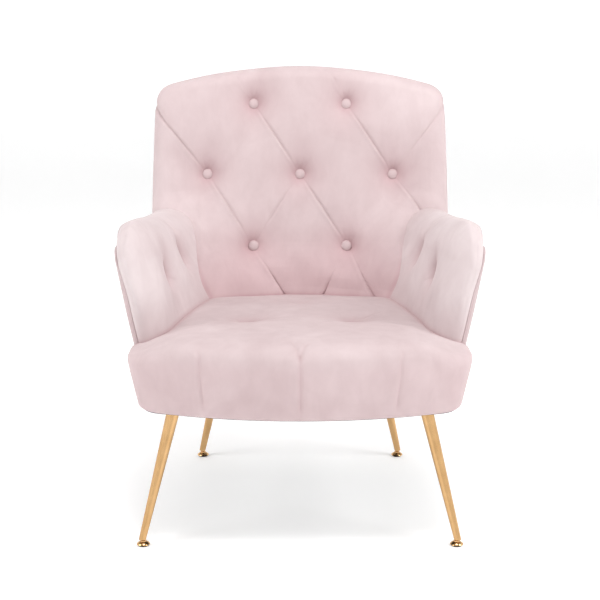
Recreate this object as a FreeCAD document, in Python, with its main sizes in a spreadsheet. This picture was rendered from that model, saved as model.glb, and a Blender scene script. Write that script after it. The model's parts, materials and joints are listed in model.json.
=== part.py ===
"""Upholstered armchair on four splayed steel legs with screw-in levelling feet.

Millimetres.  +Z is up, the front of the seat faces -Y, left is -X.  The origin is on the floor, under the
middle of the chair's box.  The driving sizes are the cells of the sheet "sizes"; every piece is worked out
from them.  Timber frame and steel pieces are bodies and primitives bound to the sheet; padding and covers are
lofts and cuts that read the same cells.
"""
import FreeCAD, Part
import math
import os
import re

import Sketcher

V = FreeCAD.Vector

SIZES = [
    ("overall_width", 696, "across the arms, outside the piping"),
    ("overall_depth", 740, "front of the seat to the top of the outside back"),
    ("overall_height", 834, "floor to the top of the arch"),
    ("underside", 262, "floor to the bottom edge of the covers and rails"),
    ("seat_width", 614, "across the front corners of the seat, at seat_level"),
    ("seat_level", 363, "height where the seat front stops leaning out"),
    ("seat_taper", 20, "how far the seat front draws in towards its bottom edge"),
    ("seat_edge_height", 398, "floor to the front edge of the seat"),
    ("seat_rear_height", 376, "floor to the seat where it meets the back"),
    ("seat_edge_round", 26, "rounding of the seat's front edge"),
    ("bow_radius", 655, "curve of the seat front, seen from above"),
    ("corner_radius", 78, "front corners of the seat, seen from above"),
    ("back_foot_width", 514, "across the rear corners at the underside"),
    ("back_seat_width", 556, "across the rear corners at seat_level"),
    ("back_arm_width", 614, "across the back at the arms"),
    ("back_top_width", 598, "across the shoulders of the back"),
    ("shoulder_drop", 38, "top of the arch to the shoulders of the back"),
    ("shoulder_radius", 34, "rounding of the shoulders"),
    ("front_rake", 13.5, "lean of the inside back, degrees"),
    ("rear_rake", 11.5, "lean of the outside back, degrees"),
    ("back_face_depth", 168, "middle of the chair to the inside back, at seat_rear_height"),
    ("back_edge_round", 22, "rounding of the top edge of the back"),
    ("arm_height", 570, "floor to the crest of the arm at its front"),
    ("arm_rear_height", 549, "floor to the crest of the arm at the back"),
    ("arm_level", 540, "height where the arm is widest"),
    ("arm_round", 30, "rounding of the arm's crest"),
    ("piping_diameter", 4.6, "piping along the arm's outer edge"),
    ("arm_width", 70, "thickness of the arm at arm_level"),
    ("arm_foot_width", 58, "thickness of the arm's front where it meets the seat"),
    ("arm_nose", 222, "middle of the chair to the front of the arm, at arm_level"),
    ("arm_foot_nose", 205, "middle of the chair to the front of the arm, at the seat"),
    ("seat_rear_opening", 340, "between the arms at their rear, at the seat"),
    ("arm_rear_opening", 456, "between the arms at their rear, at arm_level"),
    ("cover_thickness", 1.5, "velvet with its backing"),
    ("layer_gap", 0.3, "between a cover and what it covers"),
    ("tuft_depth", 20, "from the plain surface to the bottom of a tuft"),
    ("tuft_radius", 38, "mouth of a tuft"),
    ("button_diameter", 23, "covered button"),
    ("button_dome", 4.5, "height of a covered button's dome"),
    ("button_rise", 143, "between the rows of buttons on the back"),
    ("button_spread", 193, "between the buttons in a row"),
    ("top_button_height", 762, "floor to the top row of buttons"),
    ("arm_button_front", -60, "front button of each arm, along the chair"),
    ("arm_button_rear", 70, "rear button of each arm, along the chair"),
    ("arm_button_height", 470, "floor to the buttons of the arms"),
    ("twine_diameter", 1.6, "button twine"),
    ("rail_height", 60, "seat rails, on edge"),
    ("rail_thickness", 25, "seat rails"),
    ("rail_inset", 4, "from the outside of the covers to the frame"),
    ("back_board", 28, "thickness of the boards of the back frame"),
    ("back_board_width", 50, "width of the back posts"),
    ("top_rail_height", 745, "floor to the bottom edge of the back's top rail"),
    ("lower_rail_height", 395, "floor to the bottom edge of the back's lower rail"),
    ("lower_rail_width", 50, "width of the back's lower rail"),
    ("arm_rail_height", 482, "floor to the bottom of the arm rail"),
    ("arm_rail_thickness", 22, "arm rail"),
    ("arm_rail_width", 34, "arm rail"),
    ("arm_post_thickness", 25, "arm post, along the chair"),
    ("arm_post_front", -150, "front face of the arm post"),
    ("block_height", 38, "leg blocks"),
    ("wire_diameter", 3.8, "sinuous spring wire"),
    ("spring_width", 52, "across the bends of a spring"),
    ("spring_pitch", 24, "between the runs of a spring, about"),
    ("spring_spacing", 88, "between springs"),
    ("clip_sheet", 1.2, "thickness of a spring clip"),
    ("strap_width", 50, "webbing"),
    ("strap_thickness", 1.5, "webbing"),
    ("strap_gap", 26, "between the level straps"),
    ("plate_size", 64, "side of a leg's mounting plate"),
    ("plate_thickness", 4, "leg's mounting plate"),
    ("leg_top_diameter", 25, "leg tube at the plate"),
    ("leg_end_diameter", 13.4, "leg tube at the foot"),
    ("leg_wall", 1.5, "leg tube"),
    ("leg_plug", 22, "solid end of a leg"),
    ("front_leg_inset", 30, "side rail's inner face to the middle of a front leg's plate"),
    ("front_leg_setback", 158, "seat front to the middle of a front leg's plate"),
    ("front_splay_out", 59, "how far a front foot stands out sideways from its plate"),
    ("front_splay_along", -60, "the same, along the chair"),
    ("rear_leg_half", 158, "middle of the chair to a rear leg's plate"),
    ("rear_leg_setback", 67, "outside back, at the underside, to the middle of a rear leg's plate"),
    ("rear_splay_out", 53, "how far a rear foot stands out sideways from its plate"),
    ("rear_splay_along", 43, "the same, along the chair"),
    ("screw_diameter", 4.8, "plate screws"),
    ("screw_head", 9, "plate screws"),
    ("screw_length", 26, "plate screws, under the head"),
    ("screw_spacing", 44, "between plate screws"),
    ("pad_diameter", 20, "floor pad of a foot"),
    ("pad_thickness", 3, "floor pad of a foot"),
    ("stub_diameter", 8, "stub of the foot in its pad"),
    ("stub_height", 1.8, "stub of the foot in its pad"),
    ("dome_diameter", 25, "foot"),
    ("dome_height", 5, "foot"),
    ("collar_diameter", 11.5, "spanner collar of the foot"),
    ("collar_height", 2, "spanner collar of the foot"),
    ("stem_diameter", 5.9, "levelling screw, M6"),
    ("stem_length", 14, "levelling screw above its collar"),
    ("foot_gap", 2.5, "between the collar and the leg's end"),
    ("turning_fit", 0.05, "radial clearance of the stem and the stub"),
]
SIDES = (("left", -1), ("right", 1))

document = FreeCAD.newDocument("armchair")
sheet = document.addObject("Spreadsheet::Sheet", "sizes")
for row, (alias, value, note) in enumerate(SIZES, start=1):
    sheet.set(f"A{row}", note)
    sheet.set(f"B{row}", str(value))
    sheet.setAlias(f"B{row}", alias)
document.recompute()
ALIASES = {alias for alias, _, _ in SIZES}
pieces = []


# ---- expressions -------------------------------------------------------------------------------------------

def bound(text):
    """The expression with the sheet's name put before each alias."""
    return re.sub(r"[a-z]\w*", lambda word: f"sizes.{word[0]}" if word[0] in ALIASES else word[0], str(text))


def number(text):
    """What an expression comes to."""
    return float(sheet.evalExpression(bound(text)))


def between(height, low, low_value, high, high_value):
    """The expression for a straight line through two (height, value) pairs."""
    share = f"(({height}) - ({low})) / (({high}) - ({low}))"
    return f"(({low_value}) + {share} * (({high_value}) - ({low_value})))"


def rear_face(height):
    """Outside back: its distance behind the middle at a height; straight, leaning by rear_rake."""
    return f"(overall_depth / 2 - (overall_height - back_edge_round - ({height})) * tan(rear_rake * 1deg))"


def back_face(height):
    """Inside back: its distance behind the middle at a height; straight, leaning by front_rake."""
    return f"(back_face_depth + (({height}) - seat_rear_height) * tan(front_rake * 1deg))"


def side_front(height):
    """Half width of the outside at the front of the sides: seat taper below, arm flare above."""
    if number(height) <= number("seat_level"):
        return between(height, "underside", "seat_width / 2 - seat_taper", "seat_level", "seat_width / 2")
    top = number("arm_level")
    capped = "arm_level" if number(height) > top else height
    return between(capped, "seat_level", "seat_width / 2", "arm_level", "overall_width / 2 - piping_diameter")


def side_rear(height):
    """Half width of the outside at the rear corners, up to the shoulders."""
    if number(height) <= number("seat_level"):
        return between(height, "underside", "back_foot_width / 2", "seat_level", "back_seat_width / 2")
    if number(height) <= number("arm_level"):
        return between(height, "seat_level", "back_seat_width / 2", "arm_level", "back_arm_width / 2")
    return between(height, "arm_level", "back_arm_width / 2", SHOULDER, "back_top_width / 2")


def side_line(height, along):
    """Half width of the outside at a height and a distance along the chair."""
    return between(along, "-arm_foot_nose", side_front(height), rear_face(height), side_rear(height))


def side_at(height, along):
    """side_line as a number."""
    return number(side_line(height, along))


# ---- objects of the document -------------------------------------------------------------------------------

def keep(item, label):
    """Name a finished sub-part; its label is its file's name."""
    item.Label = label
    pieces.append(item)
    return item


def set_place(item, base, axis=None, angle=None):
    """Bind a placement: its three coordinates, and a turn about an axis where there is one."""
    if axis:
        item.Placement = FreeCAD.Placement(V(0, 0, 0), FreeCAD.Rotation(V(*axis), 1))
        item.setExpression("Placement.Rotation.Angle", bound(angle))
    for letter, text in zip("xyz", base):
        item.setExpression(f"Placement.Base.{letter}", bound(text))


def closed_sketch(body, plane, corners, arcs):
    """A closed outline on one of the body's planes.

    Corners are pairs of expressions.  arcs gives, for the edge after a corner, its radius and on which side
    of the chord it bulges (+1 left, -1 right); every other edge is straight.
    """
    sketch = body.newObject("Sketcher::SketchObject", "outline")
    datum = [item for item in body.Origin.OriginFeatures if item.Role == plane][0]
    sketch.AttachmentSupport = [(datum, "")]
    sketch.MapMode = "FlatFace"
    points = [V(number(x), number(y), 0) for x, y in corners]
    count = len(points)
    for index, start in enumerate(points):
        end = points[(index + 1) % count]
        if index in arcs:
            radius, side = number(arcs[index][0]), arcs[index][1]
            chord = end - start
            sagitta = radius - math.sqrt(radius**2 - (chord.Length / 2) ** 2)
            left = V(-chord.y, chord.x, 0).normalize()
            middle = (start + end) * 0.5 + left * (side * sagitta)
            sketch.addGeometry(Part.Arc(start, middle, end), False)
        else:
            sketch.addGeometry(Part.LineSegment(start, end), False)

    def end_of(edge, point):
        """Which end of an edge lies on a point: an arc may be stored the other way round."""
        return 1 if sketch.getPoint(edge, 1).distanceToPoint(point) < 0.001 else 2

    for index, point in enumerate(points):
        before = (index - 1) % count
        here = end_of(index, point)
        sketch.addConstraint(Sketcher.Constraint("Coincident", before, end_of(before, point), index, here))
        for kind, text, distance in (("DistanceX", corners[index][0], point.x),
                                     ("DistanceY", corners[index][1], point.y)):
            if abs(distance) < 0.001:
                axis = -2 if kind == "DistanceX" else -1
                sketch.addConstraint(Sketcher.Constraint("PointOnObject", index, here, axis))
            else:
                added = sketch.addConstraint(Sketcher.Constraint(kind, -1, 1, index, here, distance))
                sketch.setExpression(f"Constraints[{added}]", bound(text))
        if index in arcs:
            radius = number(arcs[index][0])
            added = sketch.addConstraint(Sketcher.Constraint("Radius", index, radius))
            sketch.setExpression(f"Constraints[{added}]", bound(arcs[index][0]))
    return sketch


def flat_piece(label, plane, corners, thickness, base=("0", "0", "0"), axis=None, angle=None, arcs=None,
               reverse=False):
    """A board: a closed sketch padded to its thickness, to either side of it, then put in its place."""
    body = document.addObject("PartDesign::Body", "board")
    sketch = closed_sketch(body, plane, corners, arcs or {})
    pad = body.newObject("PartDesign::Pad", "pad")
    pad.Profile = sketch
    pad.setExpression("Length", bound(thickness))
    pad.Reversed = reverse
    set_place(body, base, axis, angle)
    return keep(body, label)


def turned_piece(label, corners, base, arcs=None):
    """A piece of revolution about +Z: a closed sketch of its half section, turned once round."""
    body = document.addObject("PartDesign::Body", "turned")
    sketch = closed_sketch(body, "XZ_Plane", corners, arcs or {})
    turn = body.newObject("PartDesign::Revolution", "turn")
    turn.Profile = sketch
    turn.ReferenceAxis = (sketch, ["V_Axis"])
    turn.Angle = 360
    set_place(body, base)
    return keep(body, label)


def primitive(kind, sizes, base=None, axis=None, angle=None):
    """A Part primitive with its properties bound."""
    item = document.addObject(f"Part::{kind}", kind.lower())
    for name, text in sizes.items():
        item.setExpression(name, bound(text))
    if base:
        set_place(item, base, axis, angle)
    return item


def combine(kind, base, tool):
    """A Part boolean of two objects: Cut, Fuse or Common."""
    item = document.addObject(f"Part::{kind}", kind.lower())
    item.Base = base
    item.Tool = tool
    return item


def shaped(label, shape):
    """A sub-part whose shape is worked out with Part's own functions."""
    item = document.addObject("Part::Feature", "shape")
    item.Shape = shape
    return keep(item, label)


# ---- plain geometry ----------------------------------------------------------------------------------------

def mirrored(points):
    """The same points on the other side of the chair, in the order that closes the outline."""
    return [(-x, y) for x, y in reversed(points)]


def inset_outline(points, inset):
    """A polygon with each of its sides moved inwards by inset; its corners run counter-clockwise."""
    sides = []
    for (x0, y0), (x1, y1) in zip(points, points[1:] + points[:1]):
        length = math.hypot(x1 - x0, y1 - y0)
        normal_x, normal_y = -(y1 - y0) / length, (x1 - x0) / length
        sides.append((normal_x, normal_y, normal_x * x0 + normal_y * y0 + inset))
    moved = []
    for (a0, b0, c0), (a1, b1, c1) in zip(sides[-1:] + sides[:-1], sides):
        cross = a0 * b1 - a1 * b0
        moved.append(((c0 * b1 - c1 * b0) / cross, (a0 * c1 - a1 * c0) / cross))
    return moved


def polygon_wire(points, place):
    """A closed wire through points, each put in space by place(a, b)."""
    corners = [place(a, b) for a, b in points]
    return Part.makePolygon(corners + corners[:1])


def prism(points, place, along):
    """A polygon carried along a vector."""
    return Part.Face(polygon_wire(points, place)).extrude(along)


def plan_prism(points, low, high):
    """A polygon seen from above, from one height to another."""
    return prism(points, lambda x, y: V(x, y, low), V(0, 0, high - low))


def side_prism(points, half_width=500):
    """A polygon of (y, z) seen from the side, right across the chair."""
    return prism(points, lambda y, z: V(-half_width, y, z), V(2 * half_width, 0, 0))


def loft(wires):
    """A solid between outlines at rising heights, with straight sides from one to the next."""
    return Part.makeLoft(wires, True, True)


def lerp(share, first, last):
    return first + (last - first) * share


def rounding(radius, steps=3):
    """(drop below the top, draw-in) pairs of a rounded edge, from its lower end up."""
    turns = [math.pi / 2 * step / steps for step in range(steps + 1)]
    return [(radius * (1 - math.sin(turn)), radius * (1 - math.cos(turn))) for turn in turns]


COVER = number("cover_thickness")
GAP = number("layer_gap")
UNDERSIDE = number("underside")
DEPTH = number("overall_depth")
HEIGHT = number("overall_height")
ARM_LEVEL = number("arm_level")
SEAT_REAR = number("seat_rear_height")
SEAT_EDGE = number("seat_edge_height")
SEAT_LEVEL = number("seat_level")
RAIL_TOP = number("underside + rail_height")
DECK = number("underside + rail_height + 2 * clip_sheet + wire_diameter + 3 * layer_gap")
DECK_TOP = DECK + COVER
FOAM_FLOOR = DECK_TOP + GAP
FAR = 600
NOSE_SLANT = 46
SHOULDER_DEPTH_LOW = 18
SHOULDER_DEPTH_HIGH = 52
NOSE_CUT = 38
REAR_STEP = 34
FOOT_STEP = 50
FOOT_HOOK = 66


def base_wire(height, inset, level=None):
    """Outline of the seat's drum seen from above, at a height.

    The front is an arc, the corners are arcs tangent to it and to the sides, and the sides and the rear are
    straight.  level, when given, is the height whose widths are used.
    """
    level = height if level is None else level
    lean = max(0.0, (number("seat_level") - level) / (number("seat_level") - UNDERSIDE))
    reach = DEPTH / 2 - number("seat_taper") * lean - inset
    front = V(number(side_front(level)) - inset, -number("arm_foot_nose"), height)
    rear = V(number(side_rear(level)) - inset, number(rear_face(level)) - inset, height)
    bow, corner = number("bow_radius") - inset, number("corner_radius") - inset
    bow_middle = V(0, bow - reach, height)
    along = (rear - front).normalize()
    inwards = V(-along.y, along.x, 0)
    start = front + inwards * corner - bow_middle
    half = start.dot(along)
    step = -half - math.sqrt(half**2 - start.dot(start) + (bow - corner) ** 2)
    middle = front + inwards * corner + along * step
    outwards = (middle - bow_middle).normalize()
    bow_end, side_end = bow_middle + outwards * bow, front + along * step
    corner_top = middle + (outwards - inwards).normalize() * corner

    def other(point):
        return V(-point.x, point.y, point.z)

    edges = [
        Part.Arc(other(bow_end), V(0, -reach, height), bow_end),
        Part.Arc(bow_end, corner_top, side_end),
        Part.LineSegment(side_end, rear),
        Part.LineSegment(rear, other(rear)),
        Part.LineSegment(other(rear), other(side_end)),
        Part.Arc(other(side_end), other(corner_top), other(bow_end)),
    ]
    return Part.Wire([edge.toShape() for edge in edges])


# ---- soft envelopes ----------------------------------------------------------------------------------------

def seat_zone(widening):
    """Seen from above, what belongs to the seat: its front, and what the arms and back leave free."""
    nose = -number("arm_foot_nose")
    foot_width = number("arm_foot_width")
    half = number("seat_width / 2")
    rear_half = number("seat_rear_opening / 2")
    rear = number("back_face_depth") - GAP
    right = [(FAR, -FAR), (FAR, nose - 1), (half - 1, nose), (half - foot_width, nose + NOSE_SLANT),
             (rear_half, rear - FOOT_STEP), (rear_half - FOOT_HOOK, rear)]
    return inset_outline(right + mirrored(right), -widening)


def seat_block(inset, floor):
    """The seat with its front and corners, from a floor up to its sloping top."""
    level, top = number("seat_level"), number("seat_edge_height") - inset
    rows = [(floor, max(floor, UNDERSIDE), inset)]
    rows += [(level, level, inset)] if floor < level - 1 else []
    rows += [(top - drop, level, inset + draw) for drop, draw in rounding(number("seat_edge_round"))]
    rows.append((top + 20, level, inset + number("seat_edge_round") + 1))
    drum = loft([base_wire(height, draw, width_level) for height, width_level, draw in rows])
    front, rear = -DEPTH / 2, number("back_face_depth")
    slope = (number("seat_edge_height") - SEAT_REAR) / (rear - front)
    under_top = [(-FAR, floor - 1), (FAR, floor - 1), (FAR, SEAT_REAR - inset - slope * (FAR - rear)),
                 (front, top), (-FAR, top)]
    return drum.common(side_prism(under_top))


def arm_outline(height, inset):
    """Seen from above, the right arm at a height; its rear runs on into the back."""
    share = min(1.0, max(0.0, (height - SEAT_EDGE) / (ARM_LEVEL - SEAT_EDGE)))
    nose = -lerp(share, number("arm_foot_nose"), number("arm_nose"))
    shoulder_y = nose + lerp(share, SHOULDER_DEPTH_LOW, SHOULDER_DEPTH_HIGH)
    widest = min(height, ARM_LEVEL)
    panel_room = COVER + 4 * GAP
    outer_front = side_at(widest, shoulder_y) - panel_room
    outer_rear = side_at(widest, FAR) - panel_room
    thickness = lerp(share, number("arm_foot_width"), number("arm_width"))
    inner_front = lerp(share, number("seat_width / 2"), number(side_front("arm_level"))) - thickness
    foot_y = -number("arm_foot_nose")
    tip = number("seat_width / 2") - 1
    foot_x = min(tip, side_at(height, foot_y) - panel_room - 1)
    foot_y += (tip - foot_x) * NOSE_SLANT / (number("arm_foot_width") - 1)
    inner_rear = lerp(share, number("seat_rear_opening / 2"), number("arm_rear_opening / 2"))
    back = number("back_face_depth")
    corner_x = inner_rear - lerp(share, FOOT_HOOK, REAR_STEP)
    points = [
        (outer_front, shoulder_y),
        (outer_rear, FAR),
        (corner_x, FAR),
        (corner_x, back + lerp(share, 0, REAR_STEP)),
        (inner_rear, back - lerp(share, FOOT_STEP, REAR_STEP)),
        (inner_front, nose + lerp(share, NOSE_SLANT, NOSE_CUT)),
        (lerp(share, foot_x, inner_front + NOSE_CUT), lerp(share, foot_y, nose)),
    ]
    return inset_outline(points, inset)


def arm_block(inset):
    """The right arm's padding from the deck to its crest, ending at the inside back."""
    top = number("arm_height") - inset
    rows = [(height, inset + GAP) for height in (FOAM_FLOOR + GAP, SEAT_LEVEL, SEAT_EDGE)]
    rows += [(top - drop, inset + draw) for drop, draw in rounding(number("arm_round"))]
    solid = loft([polygon_wire(arm_outline(height, draw), lambda x, y, z=height: V(x, y, z))
                  for height, draw in rows])
    bottom, face = FOAM_FLOOR - 5, GAP + inset
    front, back = -number("arm_nose"), number("back_face_depth")
    fall = (number("arm_height") - number("arm_rear_height")) / (back - front)
    under_crest = [(-FAR, bottom), (FAR, bottom), (FAR, top - fall * (FAR - front)),
                   (front, top), (-FAR, top)]
    seat_end = number("back_face_depth") - face
    before_back = [(-FAR, bottom), (seat_end, bottom), (seat_end, SEAT_REAR),
                   (number(back_face(HEIGHT)) - face, HEIGHT), (-FAR, HEIGHT)]
    return solid.common(side_prism(under_crest)).common(side_prism(before_back))


def back_outline(inset):
    """Seen from the front, half of the back: posts, shoulders and half of the arch, from the bottom up."""
    side = COVER + GAP + inset
    shoulder = number(SHOULDER)
    return [
        (number(side_rear("underside")) - side, UNDERSIDE),
        (number(side_rear("seat_level")) - side, number("seat_level")),
        (number(side_rear("arm_level")) - side, ARM_LEVEL),
        (number("back_top_width / 2") - inset, shoulder - number("shoulder_radius")),
        (number("back_top_width / 2 - shoulder_radius * 0.3") - inset, shoulder - 10 - inset * 0.7),
        (number("back_top_width / 2 - shoulder_radius") - inset * 0.4, shoulder - inset),
    ]


def back_face_solid(inset, floor):
    """The back seen from the front, carried right through from front to rear."""
    half = back_outline(inset)
    half[0] = (half[0][0], floor)
    right = [V(x, -FAR, z) for x, z in half]
    left = [V(-x, -FAR, z) for x, z in reversed(half)]
    arch = Part.Arc(right[-1], V(0, -FAR, HEIGHT - inset), left[0]).toShape()
    outline = Part.Wire([*Part.makePolygon(right).Edges, arch, *Part.makePolygon(left + right[:1]).Edges])
    return Part.Face(outline).extrude(V(0, 2 * FAR, 0))


def back_profile(inset):
    """Seen from the side, the back: leaning front and rear, rounded top, and a thin foot behind the deck."""
    roundness = number("back_edge_round")
    shoulder = HEIGHT - roundness
    front_shoulder, rear_shoulder = number(back_face(shoulder)), number(rear_face(shoulder))
    foot = number("rail_inset + back_board") + 2
    points = [
        (number(rear_face("underside")) - foot, UNDERSIDE),
        (number(rear_face("underside")), UNDERSIDE),
        (rear_shoulder, shoulder),
        (rear_shoulder - roundness * 0.3, HEIGHT - roundness * 0.3),
        (rear_shoulder - roundness, HEIGHT),
        (front_shoulder + roundness, HEIGHT),
        (front_shoulder + roundness * 0.3, HEIGHT - roundness * 0.3),
        (front_shoulder, shoulder),
        (number("back_face_depth"), SEAT_REAR),
        (number("back_face_depth"), FOAM_FLOOR + GAP),
        (number(rear_face(FOAM_FLOOR + GAP)) - foot, FOAM_FLOOR + GAP),
    ]
    return inset_outline(points, inset)


def back_block(inset):
    return back_face_solid(inset, UNDERSIDE - 1).common(side_prism(back_profile(inset)))


# ---- tufts -------------------------------------------------------------------------------------------------

INTO_BACK = V(0, math.cos(math.radians(number("front_rake"))), -math.sin(math.radians(number("front_rake"))))


def back_button_places():
    """(x, z) of the back's buttons: two, three and two."""
    spread, rise, top = number("button_spread"), number("button_rise"), number("top_button_height")
    return [(spread * (column - (count - 1) / 2), top - rise * row)
            for row, count in enumerate((2, 3, 2)) for column in range(count)]


def back_tufts():
    """(point on the inside back, direction into it) of each button."""
    return [(V(x, number(back_face(z)), z), INTO_BACK) for x, z in back_button_places()]


def arm_tufts():
    """(point on the arm's inner face, direction into it) of the right arm's buttons."""
    tufts = []
    z = number("arm_button_height")
    for y in (number("arm_button_front"), number("arm_button_rear")):
        def face_point(along, height):
            points = arm_outline(height, 0)
            (x0, y0), (x1, y1) = points[4], points[5]
            return V(lerp((along - y0) / (y1 - y0), x0, x1), along, height)
        here = face_point(y, z)
        normal = (face_point(y + 10, z) - here).cross(face_point(y, z + 10) - here).normalize()
        tufts.append((here, normal if normal.x > 0 else normal * -1))
    return tufts


def tuft_hollows(tufts, grow):
    """The cones that the tufts press into the padding, grown by a cover's thickness."""
    mouth, floor_radius = number("tuft_radius") + grow, number("button_diameter / 2") + 1.5 + grow
    depth = number("tuft_depth")
    lead = 10
    slope = (mouth - floor_radius) / depth
    return [Part.makeCone(mouth + slope * lead, floor_radius, depth + lead + grow, point - way * lead, way)
            for point, way in tufts]


def covered_button(point, way):
    """A covered button on the floor of its tuft: a short cylinder with a domed face."""
    radius, dome = number("button_diameter / 2"), number("button_dome")
    rim = 2.0
    sphere_radius = (radius**2 + dome**2) / (2 * dome)
    seat = point + way * (number("tuft_depth") - GAP)
    body = Part.makeCylinder(radius, rim + dome + 1, seat, way * -1)
    ball = Part.makeSphere(sphere_radius, seat - way * (rim + dome - sphere_radius))
    return body.common(ball)


def mirror_x(shape):
    return shape.mirror(V(0, 0, 0), V(1, 0, 0))


def grown(shape, by):
    """A straight-sided solid with every face moved outwards."""
    return shape.makeOffsetShape(by, 0.01, fill=False, join=2)


# ---- places that several pieces share ----------------------------------------------------------------------

SHOULDER = "(overall_height - shoulder_drop)"
RAIL_Y = rear_face("underside")
SIDE_FOOT = "(seat_width / 2 - seat_taper - rail_inset)"
REAR_FOOT = "(back_foot_width / 2 - rail_inset)"
FRAME_BACK = f"({RAIL_Y} - rail_inset)"
BOW_INNER = "(bow_radius - rail_inset - rail_thickness)"
BOW_MIDDLE = "(bow_radius - overall_depth / 2 + seat_taper)"
RAIL_END_X = "(seat_width / 2 - corner_radius - 12)"
LEG_TOP = {"front": (f"({SIDE_FOOT} - rail_thickness - front_leg_inset)",
                     "(front_leg_setback - overall_depth / 2)"),
           "rear": ("rear_leg_half", f"({RAIL_Y} - rear_leg_setback)")}
FOOT = {end: (f"({x} + {end}_splay_out)", f"({y} + {end}_splay_along)") for end, (x, y) in LEG_TOP.items()}


# ---- timber frame ------------------------------------------------------------------------------------------

def bow_at(x, radius):
    """Expression for how far in front an arc about the bow's middle lies at x."""
    return f"({BOW_MIDDLE} - sqrt(({radius})^2 - ({x})^2))"


def make_seat_rails():
    """The front rail is sawn to the bow; the side rails run back to the posts, which the rear rail joins."""
    outer = "(bow_radius - rail_inset)"
    flat_piece("front_seat_rail", "XY_Plane", [
        (f"-{RAIL_END_X}", bow_at(RAIL_END_X, outer)), (RAIL_END_X, bow_at(RAIL_END_X, outer)),
        (RAIL_END_X, bow_at(RAIL_END_X, BOW_INNER)), (f"-{RAIL_END_X}", bow_at(RAIL_END_X, BOW_INNER)),
    ], "rail_height", ("0", "0", "underside"), arcs={0: (outer, -1), 2: (BOW_INNER, 1)})
    front_y = "(arm_foot_nose + 30)"
    angle = f"atan(({SIDE_FOOT} - {REAR_FOOT}) / ({RAIL_Y} + arm_foot_nose))"
    run = (f"({FRAME_BACK} - back_board / cos(rear_rake * 1deg) - layer_gap + {front_y}"
           f" - rail_thickness * sin({angle}))")
    for side, sign in SIDES:
        flat_piece(f"{side}_seat_rail", "YZ_Plane", [
            ("0", "0"), (run, "0"), (f"{run} + rail_height * tan(rear_rake * 1deg)", "rail_height"),
            ("0", "rail_height")], "rail_thickness",
            (f"{sign} * ({SIDE_FOOT} - rail_thickness)", f"-{front_y}", "underside"),
            (0, 0, 1), f"{sign} * {angle} / 1deg", reverse=sign < 0)


def up_board(height):
    """Distance up the leaning back frame for a height."""
    return f"((({height}) - underside) / cos(rear_rake * 1deg))"


def make_back_frame():
    """Flat boards sawn to shape, all in one leaning plane, parallel to the outside back."""
    place = dict(base=("0", FRAME_BACK, "underside"), axis=(1, 0, 0), angle="-rear_rake")
    arm_half, top_half = "(back_arm_width / 2 - rail_inset - 4)", "(back_top_width / 2 - rail_inset - 4)"
    seat_half = "(back_seat_width / 2 - rail_inset - 2)"
    foot_half = f"({REAR_FOOT} - 2)"
    for side, sign in SIDES:
        outer = [(foot_half, "underside"), (seat_half, "seat_level"), (arm_half, "arm_level"),
                 (top_half, "top_rail_height - 0.1")]
        inner = [(f"({x} - back_board_width)", z) for x, z in reversed(outer)]
        corners = [(f"{sign} * {x}", up_board(z)) for x, z in outer + inner]
        flat_piece(f"{side}_back_post", "XZ_Plane", corners, "back_board", **place)
    end = f"({top_half} - shoulder_radius * 0.6)"
    shoulder = f"({SHOULDER} - rail_inset - 9)"
    sagitta = f"({up_board('overall_height - back_edge_round - 2')} - {up_board(shoulder)})"
    arch = f"(({end})^2 + ({sagitta})^2) / (2 * {sagitta})"
    ends = [(top_half, "top_rail_height"), (top_half, f"{shoulder} - shoulder_radius * 0.6"), (end, shoulder)]
    corners = [(x, up_board(z)) for x, z in ends] + [(f"-{x}", up_board(z)) for x, z in reversed(ends)]
    flat_piece("back_top_rail", "XZ_Plane", corners, "back_board", arcs={2: (arch, -1)}, **place)
    level_with_rails = "(rail_height - back_board * sin(rear_rake * 1deg))"
    for label, low, width in (("back_lower_rail", "lower_rail_height", "lower_rail_width"),
                              ("rear_seat_rail", "underside", level_with_rails)):
        high = f"({low} + {width})"
        halves = []
        for z in (low, high):
            above = number(z) > number("seat_level")
            line = (between(z, "seat_level", seat_half, "arm_level", arm_half) if above else
                    between(z, "underside", foot_half, "seat_level", seat_half))
            halves.append((f"({line} - back_board_width - 0.1)", up_board(z)))
        corners = [halves[0], halves[1]] + [(f"-{x}", z) for x, z in reversed(halves)]
        flat_piece(label, "XZ_Plane", corners, "back_board", **place)


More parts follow.
